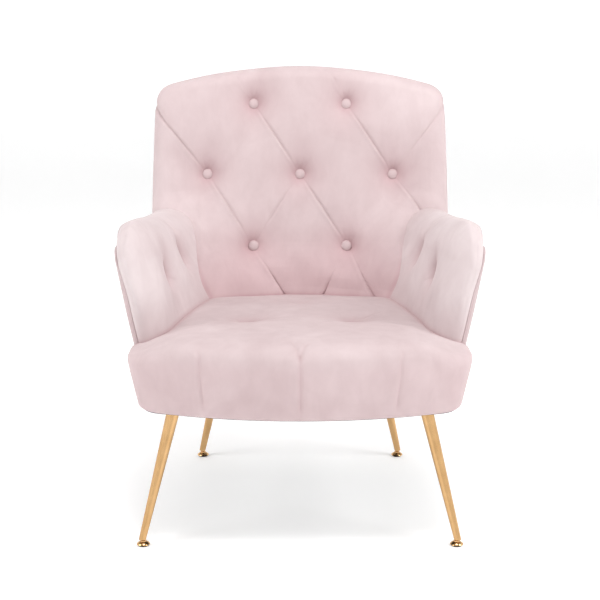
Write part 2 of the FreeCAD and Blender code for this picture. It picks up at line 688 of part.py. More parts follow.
def make_arm_frames():
    """Each arm: a post standing on the side rail, and a rail from it back to the back post."""
    post_foot_x = f"({SIDE_FOOT} - 2)"
    front, rear = "arm_post_front", "(arm_post_front + arm_post_thickness)"
    clearance = "(cover_thickness + rail_inset)"
    post_lean = 3
    post_bend_x = f"({side_line('seat_level', rear)} - {clearance} - {post_lean})"
    post_top_x = f"({side_line('arm_rail_height', rear)} - {clearance})"
    for side, sign in SIDES:
        post_foot, post_top = "underside + rail_height + layer_gap", "arm_rail_height - layer_gap"
        corners = [(f"({post_foot_x} - rail_thickness + 2)", post_foot), (post_foot_x, post_foot),
                   (post_bend_x, "seat_level"), (post_top_x, post_top),
                   (f"({post_top_x} - arm_rail_width)", post_top)]
        flat_piece(f"{side}_arm_post", "XZ_Plane", [(f"{sign} * {x}", z) for x, z in corners],
                   "arm_post_thickness", ("0", rear, "0"))
        reach = (f"({rear_face('arm_rail_height')} - rail_inset - back_board / cos(rear_rake * 1deg)"
                 f" - layer_gap - {front})")
        rear_x = f"({side_line('arm_rail_height', f'({front} + {reach})')} - {clearance})"
        angle = f"atan(({post_top_x} - {rear_x}) / {reach})"
        run = f"({reach} - arm_rail_width * sin({angle}))"
        flat_piece(f"{side}_arm_rail", "YZ_Plane", [
            ("0", "0"), (run, "0"),
            (f"{run} + arm_rail_thickness * tan(rear_rake * 1deg)", "arm_rail_thickness"),
            ("0", "arm_rail_thickness")], "arm_rail_width",
            (f"{sign} * ({post_top_x} - arm_rail_width)", front, "arm_rail_height"),
            (0, 0, 1), f"{sign} * {angle} / 1deg", reverse=sign < 0)


def screw_offsets():
    """The four corners of a plate's screw square."""
    return [(across, along) for across in (-1, 1) for along in (-1, 1)]


def make_leg_blocks():
    """A block behind each leg plate, drilled for the plate's screws."""
    inwards, outwards, forwards = 48, 42, 40
    rail_room, bow_room, corner_cut = 6, 1.3, 36
    x, y = LEG_TOP["front"]
    inner_x = f"({x} - {inwards})"
    beside_rail = f"({SIDE_FOOT} - rail_thickness - {rail_room})"
    behind_rail = f"({BOW_INNER} - {bow_room})"
    front = [(inner_x, bow_at(inner_x, behind_rail)), (RAIL_END_X, bow_at(RAIL_END_X, behind_rail)),
             (beside_rail, f"({y} - {corner_cut})"), (beside_rail, f"({y} + {outwards})"),
             (inner_x, f"({y} + {outwards})")]
    x, y = LEG_TOP["rear"]
    inner_x, outer_x = f"({x} - {inwards})", f"({x} + {outwards})"
    before_rail = f"({FRAME_BACK} - back_board / cos(rear_rake * 1deg) - layer_gap)"
    rear = [(inner_x, f"({y} - {forwards})"), (outer_x, f"({y} - {forwards})"),
            (outer_x, before_rail), (inner_x, before_rail)]
    for end, outline in (("front", front), ("rear", rear)):
        for side, sign in SIDES:
            drilled = flat_piece(f"{end}_{side}_block_before_drilling", "XY_Plane",
                                 [(f"{sign} * {x}", y) for x, y in outline], "block_height",
                                 ("0", "0", "underside"))
            pieces.remove(drilled)
            for across, along in screw_offsets():
                hole = primitive("Cylinder", {"Radius": "screw_diameter / 2 + turning_fit",
                                              "Height": "screw_length - plate_thickness + 3"},
                                 (f"{sign} * {LEG_TOP[end][0]} + {across} * screw_spacing / 2",
                                  f"{LEG_TOP[end][1]} + {along} * screw_spacing / 2", "underside - 1"))
                drilled = combine("Cut", drilled, hole)
            keep(drilled, f"{end}_{side}_leg_block")


# ---- springs, deck and webbing -----------------------------------------------------------------------------

def spring_starts():
    """x of each spring."""
    return [(index - 2) * number("spring_spacing") for index in range(5)]


def make_springs():
    """Sinuous springs from the front rail to the rear rail: runs joined by half circles, and their clips."""
    radius = number("wire_diameter / 2")
    sheet_metal, half = number("clip_sheet"), number("spring_width / 2")
    wire_z = RAIL_TOP + sheet_metal + GAP + radius
    clips = []
    rear = number(rear_face(RAIL_TOP)) - number("rail_inset + back_board / 2")
    for index, x in enumerate(spring_starts(), start=1):
        front = number(bow_at(x, "(bow_radius - rail_inset - rail_thickness / 2)"))
        runs = round((rear - front) / number("spring_pitch"))
        pitch = (rear - front) / runs
        edges = []
        for run in range(runs + 1):
            y, way = front + run * pitch, 1 if run % 2 == 0 else -1
            inner = half - pitch / 2
            start, end = V(x - way * inner, y, wire_z), V(x + way * inner, y, wire_z)
            edges.append(Part.LineSegment(start, end).toShape())
            if run < runs:
                bend = V(x + way * half, y + pitch / 2, wire_z)
                edges.append(Part.Arc(end, bend, V(end.x, y + pitch, wire_z)).toShape())
        path = Part.Wire(edges)
        first = edges[0].Vertexes[0].Point
        section = Part.Wire([Part.makeCircle(radius, first, V(1, 0, 0))])
        spring = path.makePipeShell([section], True, False)
        shaped(f"seat_spring_{index}", spring)
        for y, opening in ((front, 1), (rear, -1)):
            outside, lip = radius + GAP + sheet_metal, radius + GAP
            section_points = [(-outside, -outside), (outside, -outside), (outside, -lip), (-lip, -lip),
                              (-lip, lip), (outside, lip), (outside, outside), (-outside, outside)]
            turned = [(y + opening * along, wire_z + up) for along, up in section_points]
            clips.append(prism(turned, lambda a, b, left=x - 6: V(left, a, b), V(12, 0, 0)))
    shaped("spring_clips", Part.Compound(clips))


def make_deck_cloth():
    """Cloth over the springs, under all the padding."""
    outline = base_wire(UNDERSIDE, number("rail_inset + rail_thickness") + 4)
    deck = Part.Face(outline).extrude(V(0, 0, COVER))
    deck.translate(V(0, 0, DECK - UNDERSIDE))
    shaped("seat_deck_cloth", deck)


def make_webbing():
    """Straps across the front of the back frame: three upright, and four level ones in front of them."""
    thickness, width = number("strap_thickness"), number("strap_width")
    lean = math.radians(number("rear_rake"))
    up, out = V(0, math.sin(lean), math.cos(lean)), V(0, -math.cos(lean), math.sin(lean))
    frame_front = V(0, number(FRAME_BACK), UNDERSIDE) + out * number("back_board")

    def strap(x0, x1, low, high, layer):
        lift = GAP + layer * (thickness + GAP)
        corners = [V(x, 0, 0) + frame_front + out * lift + up * ((z - UNDERSIDE) / math.cos(lean))
                   for x, z in ((x0, low), (x1, low), (x1, high), (x0, high))]
        return Part.Face(Part.makePolygon(corners + corners[:1])).extrude(out * thickness)

    low, high = number("lower_rail_height") + 8, number("top_rail_height") + 30
    upright = [strap(x - width / 2, x + width / 2, low, high, 0) for x in (-140, 0, 140)]
    shaped("back_webbing_upright", Part.Compound(upright))
    level = []
    half = number("back_top_width / 2 - rail_inset - 20")
    over_arm_rail = number("arm_rail_height + arm_rail_thickness") + 10
    pitch = width + number("strap_gap")
    for z in (number("lower_rail_height") + 23, *(over_arm_rail + pitch * row for row in range(3))):
        level.append(strap(-half, half, z, z + width, 1))
    shaped("back_webbing_level", Part.Compound(level))
    return frame_front + out * (2 * (thickness + GAP) + GAP), up, out


# ---- padding and covers ------------------------------------------------------------------------------------

def make_seat_soft():
    """The seat's foam on the deck, and its cover, which comes down over the front and the corners."""
    zone = plan_prism(seat_zone(0), FOAM_FLOOR, 500)
    shaped("seat_foam", seat_block(COVER + GAP, FOAM_FLOOR).common(
        plan_prism(inset_outline(seat_zone(0), COVER + GAP), FOAM_FLOOR, 500)))
    nose = -number("arm_foot_nose") + 6
    front = plan_prism([(-FAR, -FAR), (FAR, -FAR), (FAR, nose), (-FAR, nose)], UNDERSIDE, FOAM_FLOOR + 1)
    outside = seat_block(0, UNDERSIDE).common(zone.fuse(front))
    hollow_zone = plan_prism(inset_outline(seat_zone(0), COVER), UNDERSIDE - 5, 500)
    hollow_front = plan_prism([(-FAR, -FAR), (FAR, -FAR), (FAR, nose + 5), (-FAR, nose + 5)],
                              UNDERSIDE - 5, FOAM_FLOOR)
    inside = seat_block(COVER, UNDERSIDE - 3).common(hollow_zone.fuse(hollow_front))
    shaped("seat_cover", outside.cut(inside))


def make_arm_soft():
    """Each arm: foam round its frame, a cover inside and over the crest, a panel outside, and the piping."""
    tufts = arm_tufts()
    block, core = arm_block(0), arm_block(COVER)
    hollow = Part.makeCompound(tuft_hollows(tufts, 0))
    core_hollow = Part.makeCompound(tuft_hollows(tufts, COVER))
    foam_block = arm_block(COVER + GAP).cut(Part.makeCompound(tuft_hollows(tufts, COVER + GAP)))
    buttons = [covered_button(point, way) for point, way in tufts]
    below = plan_prism([(-FAR, -FAR), (FAR, -FAR), (FAR, FAR), (-FAR, FAR)], UNDERSIDE, FOAM_FLOOR + 3)
    cover = block.cut(hollow).cut(core.cut(core_hollow)).cut(below).cut(arm_cover_opening())
    frame = {item.Label: item.Shape for item in pieces
             if "arm_post" in item.Label or "arm_rail" in item.Label}
    foam = foam_block
    for name in ("right_arm_post", "right_arm_rail"):
        foam = foam.cut(grown(frame[name], GAP))
    panel, piping = outside_panel()
    for side, _ in SIDES:
        flip = mirror_x if side == "left" else (lambda shape: shape)
        shaped(f"{side}_arm_foam", flip(foam))
        shaped(f"{side}_inside_arm_cover", flip(cover))
        shaped(f"{side}_outside_arm_cover", flip(panel))
        shaped(f"{side}_arm_piping", flip(piping))
    shaped("arm_buttons", Part.Compound(buttons + [mirror_x(button) for button in buttons]))


def arm_cover_opening():
    """Where the inside arm cover stops: its outer side, below the piping, and its end at the back."""
    behind_nose, below_level, width = 56, 4, 60
    start = behind_nose - number("arm_nose")
    wires = []
    for z in (UNDERSIDE, SEAT_LEVEL, SEAT_EDGE, ARM_LEVEL - below_level):
        front, rear = [V(side_at(z, y) - 2 * COVER - 6 * GAP, y, z) for y in (start, FAR)]
        outwards = V(width, 0, 0)
        wires.append(Part.makePolygon([front, front + outwards, rear + outwards, rear, front]))
    depth = number("back_face_depth") - 2 * GAP - COVER
    end = side_prism([(depth, UNDERSIDE), (FAR, UNDERSIDE), (FAR, HEIGHT),
                      (number(back_face(HEIGHT)) - 2 * GAP - COVER, HEIGHT), (depth, SEAT_REAR)])
    return loft(wires).fuse(end)


def outside_panel():
    """The panel on the right side, from the underside to just below the crest, and the piping on its edge."""
    levels = [UNDERSIDE, SEAT_LEVEL, ARM_LEVEL]
    nose_low, nose_high = -number("arm_foot_nose") + 8, -number("arm_nose") + 50
    wires = []
    for z in levels:
        share = max(0.0, (z - levels[1]) / (levels[2] - levels[1]))
        front_y = lerp(share, nose_low, nose_high)
        front = V(side_at(z, front_y), front_y, z)
        rear = V(number(side_rear(z)), number(rear_face(z)), z)
        inwards = V(-(rear - front).y, (rear - front).x, 0).normalize() * COVER
        wires.append(Part.makePolygon([front, rear, rear + inwards, front + inwards, front]))
    radius = number("piping_diameter / 2")

    def on_edge(height, along):
        return V(side_at(height, along) + radius + GAP, along, height)

    low = on_edge(SEAT_LEVEL - 14, nose_low + 6)
    high = on_edge(ARM_LEVEL - 4, nose_high + 4)
    back = on_edge(ARM_LEVEL - 6, number(back_face(ARM_LEVEL)) - 4)
    bend = 26
    before = high + (low - high).normalize() * bend
    after = high + (back - high).normalize() * bend
    turn = math.radians((low - high).getAngle(back - high) * 180 / math.pi)
    middle_way = ((low - high).normalize() + (back - high).normalize()).normalize()
    arc_radius = bend * math.tan(turn / 2)
    centre = high + middle_way * (bend / math.cos(turn / 2))
    path = Part.Wire([Part.LineSegment(low, before).toShape(),
                      Part.Arc(before, centre - middle_way * arc_radius, after).toShape(),
                      Part.LineSegment(after, back).toShape()])
    section = Part.Wire([Part.makeCircle(radius, low, before - low)])
    return loft(wires), path.makePipeShell([section], True, False)


def make_back_soft(webbing_face):
    """The back: foam in front of the webbing, a cover over its face and edges, a panel behind, buttons."""
    tufts = back_tufts()
    rails = Part.makeCompound([grown(item.Shape, GAP) for item in pieces if "arm_rail" in item.Label])
    rear_cut = back_rear_slab(COVER)
    open_top, open_floor, below_foam = 400, UNDERSIDE - 5, FOAM_FLOOR - 8
    low_depth, high_depth = 80, 60
    inside = back_face_solid(COVER, open_floor)
    core = back_block(COVER).fuse(inside.common(rear_cut))
    core = core.fuse(inside.common(side_prism(
        [(number("back_face_depth") + COVER, below_foam), (number(rear_face(FOAM_FLOOR)), below_foam),
         (number(rear_face(open_top)), open_top), (number(back_face(open_top)) + COVER, open_top)])))
    core = core.fuse(inside.common(side_prism(
        [(number(rear_face(UNDERSIDE)) - low_depth, open_floor), (number(rear_face(UNDERSIDE)), open_floor),
         (number(rear_face(open_top)), open_top), (number(rear_face(open_top)) - high_depth, open_top)])))
    hollow = Part.makeCompound(tuft_hollows(tufts, 0))
    core = core.cut(Part.makeCompound(tuft_hollows(tufts, COVER)))
    shaped("inside_back_cover", back_block(0).cut(hollow).cut(core).cut(rails))
    panel = back_block(0).common(back_face_solid(COVER + GAP, UNDERSIDE)).common(side_prism(
        back_strip(0, COVER)))
    shaped("outside_back_cover", panel)
    point, up, _ = webbing_face
    low, high = FOAM_FLOOR, HEIGHT
    slope = up.y / up.z
    behind = [(point.y + (low - point.z) * slope, low), (point.y + (high - point.z) * slope, high)]
    ahead = [(-FAR, high), (-FAR, low)]
    foam = back_block(COVER + GAP).common(side_prism(behind + ahead))
    foam = foam.cut(Part.makeCompound(tuft_hollows(tufts, COVER + GAP))).cut(rails)
    hole, twine = number("twine_diameter / 2") + GAP, number("twine_diameter / 2")
    start, reach = number("tuft_depth"), 110
    drills = [Part.makeCylinder(hole, reach, place + way * start, way) for place, way in tufts]
    shaped("back_foam", foam.cut(Part.makeCompound(drills)))
    shaped("back_buttons", Part.Compound([covered_button(place, way) for place, way in tufts]))
    twines = []
    rake = math.radians(number("rear_rake"))
    normal = V(0, math.cos(rake), -math.sin(rake))
    for place, way in tufts:
        begin = place + way * (start + COVER + GAP)
        length = (point - begin).dot(normal) / way.dot(normal) - GAP
        twines.append(Part.makeCylinder(twine, length, begin, way))
    shaped("button_twines", Part.Compound(twines))


def back_strip(inset, thickness):
    """Seen from the side, a strip along the outside back, from the underside to below the rounded top."""
    top = HEIGHT - number("back_edge_round")
    low_y, high_y = number(rear_face(UNDERSIDE)) - inset, number(rear_face(top)) - inset
    return [(low_y - thickness, UNDERSIDE), (low_y, UNDERSIDE), (high_y, top), (high_y - thickness, top)]


def back_rear_slab(inset):
    """Everything behind the padding's rear, up to the rounded top, to leave the cover open there."""
    top = HEIGHT - number("back_edge_round") + 1
    low_y, high_y = number(rear_face(UNDERSIDE - 5)), number(rear_face(top))
    return side_prism([(low_y - 30, UNDERSIDE - 5), (low_y + 10, UNDERSIDE - 5), (high_y + 10, top),
                       (high_y - 30, top)])


def make_dust_cover():
    """Thin black cloth under the frame, cut out round the leg plates."""
    cloth = Part.Face(base_wire(UNDERSIDE, 6)).extrude(V(0, 0, 1))
    cloth.translate(V(0, 0, -1 - GAP))
    half = number("plate_size / 2") + 1
    for end in ("front", "rear"):
        for _, sign in SIDES:
            x, y = sign * number(LEG_TOP[end][0]), number(LEG_TOP[end][1])
            cloth = cloth.cut(Part.makeBox(2 * half, 2 * half, 20, V(x - half, y - half, UNDERSIDE - 10)))
    shaped("dust_cover", cloth)


# ---- legs and feet -----------------------------------------------------------------------------------------

LEG_END = "(pad_thickness + 0.1 + dome_height + collar_height + foot_gap)"
STEM_MIDDLE = f"({LEG_END} + 6)"
PLATE_BOTTOM = "(underside - plate_thickness)"


def make_legs():
    """Each leg: a tapered tube on a slant, trimmed level at both ends, welded to its plate."""
    for end in ("front", "rear"):
        for side, sign in SIDES:
            top = (f"({sign} * {LEG_TOP[end][0]})", LEG_TOP[end][1])
            foot = (f"({sign} * {FOOT[end][0]})", FOOT[end][1])
            rise = f"({PLATE_BOTTOM} - {STEM_MIDDLE})"
            run = [f"({top[0]} - {foot[0]})", f"({top[1]} - {foot[1]})"]
            across = f"sqrt({run[0]}^2 + {run[1]}^2)"
            tilt = f"atan({across} / {rise})"
            length = f"sqrt({run[0]}^2 + {run[1]}^2 + {rise}^2)"
            spare = 30
            step = [f"{spare} * {part} / {length}" for part in (*run, rise)]
            grow = f"(leg_top_diameter - leg_end_diameter) / 2 * {spare} / {length}"
            base = (f"{foot[0]} - {step[0]}", f"{foot[1]} - {step[1]}", f"{STEM_MIDDLE} - {step[2]}")
            lower, upper = f"leg_end_diameter / 2 - {grow}", f"leg_top_diameter / 2 + {grow}"
            turn = f"create(<<rotation>>; create(<<vector>>; -({run[1]}); {run[0]}; 0); {tilt})"
            where = f"create(<<vector>>; {base[0]}; {base[1]}; {base[2]})"
            tube = []
            for wall in ("0", "leg_wall"):
                cone = primitive("Cone", {"Radius1": f"{lower} - {wall}", "Radius2": f"{upper} - {wall}",
                                          "Height": f"{length} + 2 * {spare}"})
                cone.setExpression("Placement", bound(f"create(<<placement>>; {where}; {turn})"))
                tube.append(cone)
            around = 150
            corner = (f"{foot[0]} - {around}", f"{foot[1]} - {around}")
            square = {"Length": f"2 * {around}", "Width": f"2 * {around}"}
            trim = primitive("Box", {**square, "Height": f"{PLATE_BOTTOM} - {LEG_END}"}, (*corner, LEG_END))
            bore = primitive("Box", {**square, "Height": f"{PLATE_BOTTOM} - {LEG_END} - leg_plug"},
                             (*corner, f"{LEG_END} + leg_plug"))
            leg = combine("Cut", combine("Common", tube[0], trim), combine("Common", tube[1], bore))
            plate = primitive("Box",
                              {"Length": "plate_size", "Width": "plate_size", "Height": "plate_thickness"},
                              (f"{top[0]} - plate_size / 2", f"{top[1]} - plate_size / 2", PLATE_BOTTOM))
            leg = combine("Fuse", leg, plate)
            for dx, dy in screw_offsets():
                hole = primitive("Cylinder",
                                 {"Radius": "screw_diameter / 2 + 0.4", "Height": "plate_thickness + 2"},
                                 (f"{top[0]} + {dx} * screw_spacing / 2",
                                  f"{top[1]} + {dy} * screw_spacing / 2", f"{PLATE_BOTTOM} - 1"))
                leg = combine("Cut", leg, hole)
            thread = primitive("Cylinder", {"Radius": "stem_diameter / 2 + turning_fit",
                                            "Height": "stem_length + 3"},
                               (*foot, f"{LEG_END} - 1"))
            keep(combine("Cut", leg, thread), f"{end}_{side}_leg")


def make_feet():
    """Each foot: a rubber pad on the floor, and a domed foot on a levelling screw, turning in the pad."""
    pad = [("0", "0"), ("pad_diameter / 2 - 0.6", "0"), ("pad_diameter / 2", "0.6"),
           ("pad_diameter / 2", "pad_thickness"), ("stub_diameter / 2 + turning_fit", "pad_thickness"),
           ("stub_diameter / 2 + turning_fit", "pad_thickness - stub_height"),
           ("0", "pad_thickness - stub_height")]
    low = "(pad_thickness + 0.1)"
    dome_top = f"({low} + dome_height)"
    collar_top = f"({dome_top} + collar_height)"
    stub_end = "pad_thickness - stub_height + 0.1"
    foot = [("0", stub_end), ("stub_diameter / 2", stub_end),
            ("stub_diameter / 2", low), ("dome_diameter / 2", low), ("collar_diameter / 2", dome_top),
            ("collar_diameter / 2", collar_top), ("stem_diameter / 2", collar_top),
            ("stem_diameter / 2", f"{collar_top} + stem_length"), ("0", f"{collar_top} + stem_length")]
    for end in ("front", "rear"):
        for side, sign in SIDES:
            place = (f"{sign} * {FOOT[end][0]}", FOOT[end][1], "0")
            turned_piece(f"{end}_{side}_foot_pad", pad, place)
            turned_piece(f"{end}_{side}_foot", foot, place, arcs={3: ("dome_diameter * 0.44", -1)})


def make_leg_screws():
    """Four screws in each plate, heads below it."""
    screws = []
    shank, head = number("screw_diameter / 2"), number("screw_head / 2")
    length = number("screw_length")
    plate_face = number(PLATE_BOTTOM) - 0.1
    for end in ("front", "rear"):
        for _, sign in SIDES:
            for across, along in screw_offsets():
                half = number("screw_spacing / 2")
                place = V(sign * number(LEG_TOP[end][0]) + across * half,
                          number(LEG_TOP[end][1]) + along * half, plate_face)
                pan = Part.makeCone(head - 0.8, head, 2.4, place - V(0, 0, 2.4))
                screws.append(pan.fuse(Part.makeCylinder(shank, length, place)).removeSplitter())
    shaped("leg_screws", Part.Compound(screws))


# ---- the chair ---------------------------------------------------------------------------------------------

make_seat_rails()
make_back_frame()
make_arm_frames()
make_leg_blocks()
make_springs()
make_deck_cloth()
webbing = make_webbing()
document.recompute()
make_seat_soft()
make_arm_soft()
make_back_soft(webbing)
make_dust_cover()
make_legs()
make_feet()
make_leg_screws()
document.recompute()

for item in document.Objects:
    if "Invalid" in item.State or "Error" in item.State:
        raise RuntimeError(f"{item.Label} did not build: {item.State}")
for piece in pieces:
    if piece.Shape.isNull() or not piece.Shape.isValid():
        raise RuntimeError(f"{piece.Label} has no valid shape")

os.makedirs("parts", exist_ok=True)
for piece in pieces:
    piece.Shape.exportStep(f"parts/{piece.Label}.step")
    box = piece.Shape.optimalBoundingBox()
    print(f"{piece.Label}: {len(piece.Shape.Solids)} solid(s), {piece.Shape.Volume:.0f} mm3, "
          f"x {box.XMin:.1f}..{box.XMax:.1f} y {box.YMin:.1f}..{box.YMax:.1f} "
          f"z {box.ZMin:.1f}..{box.ZMax:.1f}")
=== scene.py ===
"""An upholstered armchair: velvet covers, covered buttons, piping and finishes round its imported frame."""

import json
import math
import bpy
import numpy as np
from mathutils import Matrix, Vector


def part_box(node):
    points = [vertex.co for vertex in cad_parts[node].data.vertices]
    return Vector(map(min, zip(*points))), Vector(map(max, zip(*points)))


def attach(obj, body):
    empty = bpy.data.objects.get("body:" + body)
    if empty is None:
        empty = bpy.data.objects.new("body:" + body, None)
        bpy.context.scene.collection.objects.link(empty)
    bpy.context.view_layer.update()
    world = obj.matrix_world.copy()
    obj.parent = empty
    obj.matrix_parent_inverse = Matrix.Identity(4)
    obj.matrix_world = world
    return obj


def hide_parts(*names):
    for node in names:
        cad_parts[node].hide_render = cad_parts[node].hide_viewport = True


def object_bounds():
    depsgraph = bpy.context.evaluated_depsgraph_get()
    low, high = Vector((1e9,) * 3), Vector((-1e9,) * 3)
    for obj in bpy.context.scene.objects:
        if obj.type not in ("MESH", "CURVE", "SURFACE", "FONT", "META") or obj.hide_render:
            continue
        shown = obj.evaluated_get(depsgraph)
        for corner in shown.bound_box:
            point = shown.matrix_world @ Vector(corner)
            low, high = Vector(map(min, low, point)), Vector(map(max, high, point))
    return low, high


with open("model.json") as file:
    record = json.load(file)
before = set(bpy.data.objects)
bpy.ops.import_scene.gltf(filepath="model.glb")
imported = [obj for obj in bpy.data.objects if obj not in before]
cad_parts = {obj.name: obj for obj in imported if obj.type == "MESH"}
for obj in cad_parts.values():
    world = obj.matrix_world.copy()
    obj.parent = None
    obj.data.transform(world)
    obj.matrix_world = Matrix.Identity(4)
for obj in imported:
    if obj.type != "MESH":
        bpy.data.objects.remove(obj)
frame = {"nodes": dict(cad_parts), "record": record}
cad_low, cad_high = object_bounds()

# ---- sizes, in metres ------------------------------------------------------------------------------------

SEAT_LOW, SEAT_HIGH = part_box("seat_cover")
_, PANEL_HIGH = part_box("right_outside_arm_cover")

UNDERSIDE = SEAT_LOW.z
SEAT_FRONT = SEAT_LOW.y
SEAT_HALF = SEAT_HIGH.x
SEAT_LEVEL = 0.363  # height at which the seat is widest; it tapers below
SEAT_EDGE = 0.398  # height of the seat's top at its front
SEAT_REAR = 0.376  # and where it meets the back
SEAT_CROWN = 0.007
SEAT_SIDE_DROP = 0.026
BACK_FOOT = 0.168  # where the inside back meets the seat
SEAT_SLOPE = (SEAT_EDGE - SEAT_REAR) / (BACK_FOOT - SEAT_FRONT)
BOW_RADIUS = 0.655
CORNER_RADIUS = 0.078
ARM_LEVEL = PANEL_HIGH.z
ARM_HALF = PANEL_HIGH.x
TOP = cad_high.z
FRONT_LEAN = math.tan(math.radians(13.5))
REAR_LEAN = math.tan(math.radians(11.5))
REAR_TOP_Y = cad_high.y
REAR_TOP_Z = TOP - 0.022
ARCH_RADIUS = 0.95
ARM_FOOT_NOSE = -0.205  # where the arms' noses come down on the seat
ARM_FOOT = 0.355  # and how high
ARM_GAP = 0.003
COVER = 0.0015  # thickness of the velvet
QUARTER = math.pi / 2
RIGHT, REARWARD, UP = np.eye(3)

BUTTON_RADIUS = 0.0115
BUTTON_DOME = 0.0045
BUTTON_DEPTH = 0.013  # how far a button lies behind the face
ARM_BUTTON_DEPTH = 0.022
BACK_TUFT = 0.024  # how deep the padding is drawn in round it
ARM_TUFT = 0.030
TOP_ROW, ROW_STEP, SPREAD = 0.762, 0.143, 0.193
BACK_BUTTONS = [(SPREAD * (column - (count - 1) / 2), TOP_ROW - ROW_STEP * row)
                for row, count in enumerate((2, 3, 2)) for column in range(count)]
ARM_BUTTONS = [(-0.092, 0.473), (0.052, 0.484)]
PIPING_RADIUS = 0.0023
COARSE = 5  # every how many grid points the cloth has one
CLOTH_FRAMES = 20


# ---- curves and outlines ---------------------------------------------------------------------------------

def through(t, knots, values):
    """A smooth curve through the values: a cubic in each span, its slopes the mean of the neighbours'."""
    knots, values = np.asarray(knots, float), np.asarray(values, float)
    t = np.clip(t, knots[0], knots[-1])
    slope = np.diff(values) / np.diff(knots)
    slopes = np.concatenate([[slope[0]], (slope[1:] + slope[:-1]) / 2, [slope[-1]]])
    i = np.clip(np.searchsorted(knots, t, side="right") - 1, 0, len(knots) - 2)
    width = knots[i + 1] - knots[i]
    s = (t - knots[i]) / width
    return ((2 * s**3 - 3 * s**2 + 1) * values[i] + (s**3 - 2 * s**2 + s) * width * slopes[i]
            + (3 * s**2 - 2 * s**3) * values[i + 1] + (s**3 - s**2) * width * slopes[i + 1])


def step_up(t):
    """0 below 0, 1 above 1, with an even ease between."""
    t = np.clip(t, 0, 1)
    return t * t * (3 - 2 * t)


def unit(v):
    """Vectors divided by their own lengths."""
    return v / np.maximum(np.linalg.norm(v, axis=-1, keepdims=True), 1e-12)


def points(x, y, z):
    """Three arrays, or numbers, as one array of points."""
    return np.stack(np.broadcast_arrays(x, y, z), axis=-1).astype(float)


def rear_face(z):
    """Distance along the chair to the outside back at a height: a plane that leans back."""
    return REAR_TOP_Y - (REAR_TOP_Z - z) * REAR_LEAN


def back_face(z):
    """Distance along the chair to the inside back at a height: a plane that leans back a little more."""
    return BACK_FOOT + (z - SEAT_REAR) * FRONT_LEAN


def back_half(z):
    """Half width of the back, seen from the front, at a height."""
    return through(z, (0.262, 0.363, 0.540, 0.700, 0.834), (0.257, 0.278, 0.303, 0.302, 0.296))


def back_top(x):
    """Height of the arch at a distance from the middle: a circle."""
    return TOP + 0.001 - np.asarray(x) ** 2 / (2 * ARCH_RADIUS)


def outside(y, z):
    """Half width of the chair's outside at a place: straight from the arm's front to the rear corner."""
    front = through(z, (0.262, 0.330, 0.400, 0.540), (0.287, 0.3005, 0.3155, ARM_HALF))
    rear = through(z, (0.262, 0.363, 0.540, 0.800), (0.257, 0.278, 0.307, 0.299))
    share = (y - ARM_FOOT_NOSE) / (rear_face(z) - ARM_FOOT_NOSE)
    return front + (rear - front) * share


def seat_crown(x, y):
    """How far the seat swells in its middle: a quarter cosine each way, gone 0.27 m off."""
    across, along = np.clip(x / 0.27, -1, 1), np.clip((y + 0.12) / 0.27, -1, 1)
    return SEAT_CROWN * np.cos(across * QUARTER) * np.cos(along * QUARTER)


def seat_side_drop(x):
    """How far the seat's top has fallen off towards its sides: nothing at 0.20 m, all of it at 0.30 m."""
    return SEAT_SIDE_DROP * step_up((abs(x) - 0.20) / 0.10)


def seat_top(x, y):
    """Height of the seat's top: it slopes to the back, is crowned in the middle and falls at its sides."""
    return SEAT_EDGE - SEAT_SLOPE * (y - SEAT_FRONT) + seat_crown(x, y) - seat_side_drop(x)


def crevice_shade(distance, width=0.0050):
    """How much painted shade a cover takes where it goes down beside another: 1 at the other, gone soon
    after.
    """
    return np.exp(-((np.maximum(distance, 0) / width) ** 1.5))


def arm_inside(y, z):
    """Half width between the arms at a place: flares with height, and closes towards the back."""
    lean = 0.27 + 0.19 * step_up((y + 0.17) / 0.30)
    return 0.1985 - 0.215 * y + lean * (z - 0.385)


# ---- surfaces --------------------------------------------------------------------------------------------

def rolled_cover(across, upward, edges, core, section):
    """A cover whose face runs on over rolled edges, as one grid.

    The core gives the face: its points, and the ways out of it at its right and upper edges.  Beyond the
    edges the overshoot becomes a reach and an angle, from 0 at a side to a quarter turn at the top, so that
    each corner is a fan.  The section then leads each point away from the face's edge by its reach.
    """
    left, right, low, high = edges
    p, q = np.meshgrid(across, upward, indexing="ij")
    pc, qc = np.clip(p, left, right), np.clip(q, low, high)
    over_p, over_q = p - pc, q - qc
    reach = np.maximum(abs(over_p), abs(over_q))
    steep = abs(over_q) > abs(over_p)
    share = np.where(steep, abs(over_p), abs(over_q)) / np.maximum(reach, 1e-9)
    angle = np.where(steep, QUARTER - share * QUARTER / 2, share * QUARTER / 2)
    face, side, up = core(pc, qc)
    to_side = np.cos(angle) * np.where(over_p < 0, -1, 1)
    to_top = np.sin(angle) * np.where(over_q < 0, -1, 1)
    way = unit(to_side[..., None] * side + to_top[..., None] * up)
    return section(face, way, reach, angle)


def roll(reach, flat, radius, straight, end):
    """An edge's section by its length: flat, a quarter turn, straight, and a last quarter turn under."""
    straight_start = flat + radius * QUARTER
    end_start = straight_start + straight
    first = np.clip((reach - flat) / radius, 0, QUARTER)
    last = np.clip((reach - end_start) / end, 0, QUARTER)
    out = np.minimum(reach, flat) + radius * np.sin(first) - end * (1 - np.cos(last))
    back = radius * (1 - np.cos(first)) + np.clip(reach - straight_start, 0, straight) + end * np.sin(last)
    return out, back


def roll_length(flat, radius, straight, end):
    """Length of an edge's whole section."""
    return flat + radius * QUARTER + straight + end * QUARTER


def grid_normals(grid):
    """Unit normals of a grid: the cross product of its two directions."""
    along, up = np.gradient(grid, axis=0), np.gradient(grid, axis=1)
    return unit(np.cross(along, up))


def lines(low, high, pitch):
    """Evenly spaced values from low to high, as near the pitch as comes out whole."""
    return np.linspace(low, high, int(round((high - low) / pitch)) + 1)


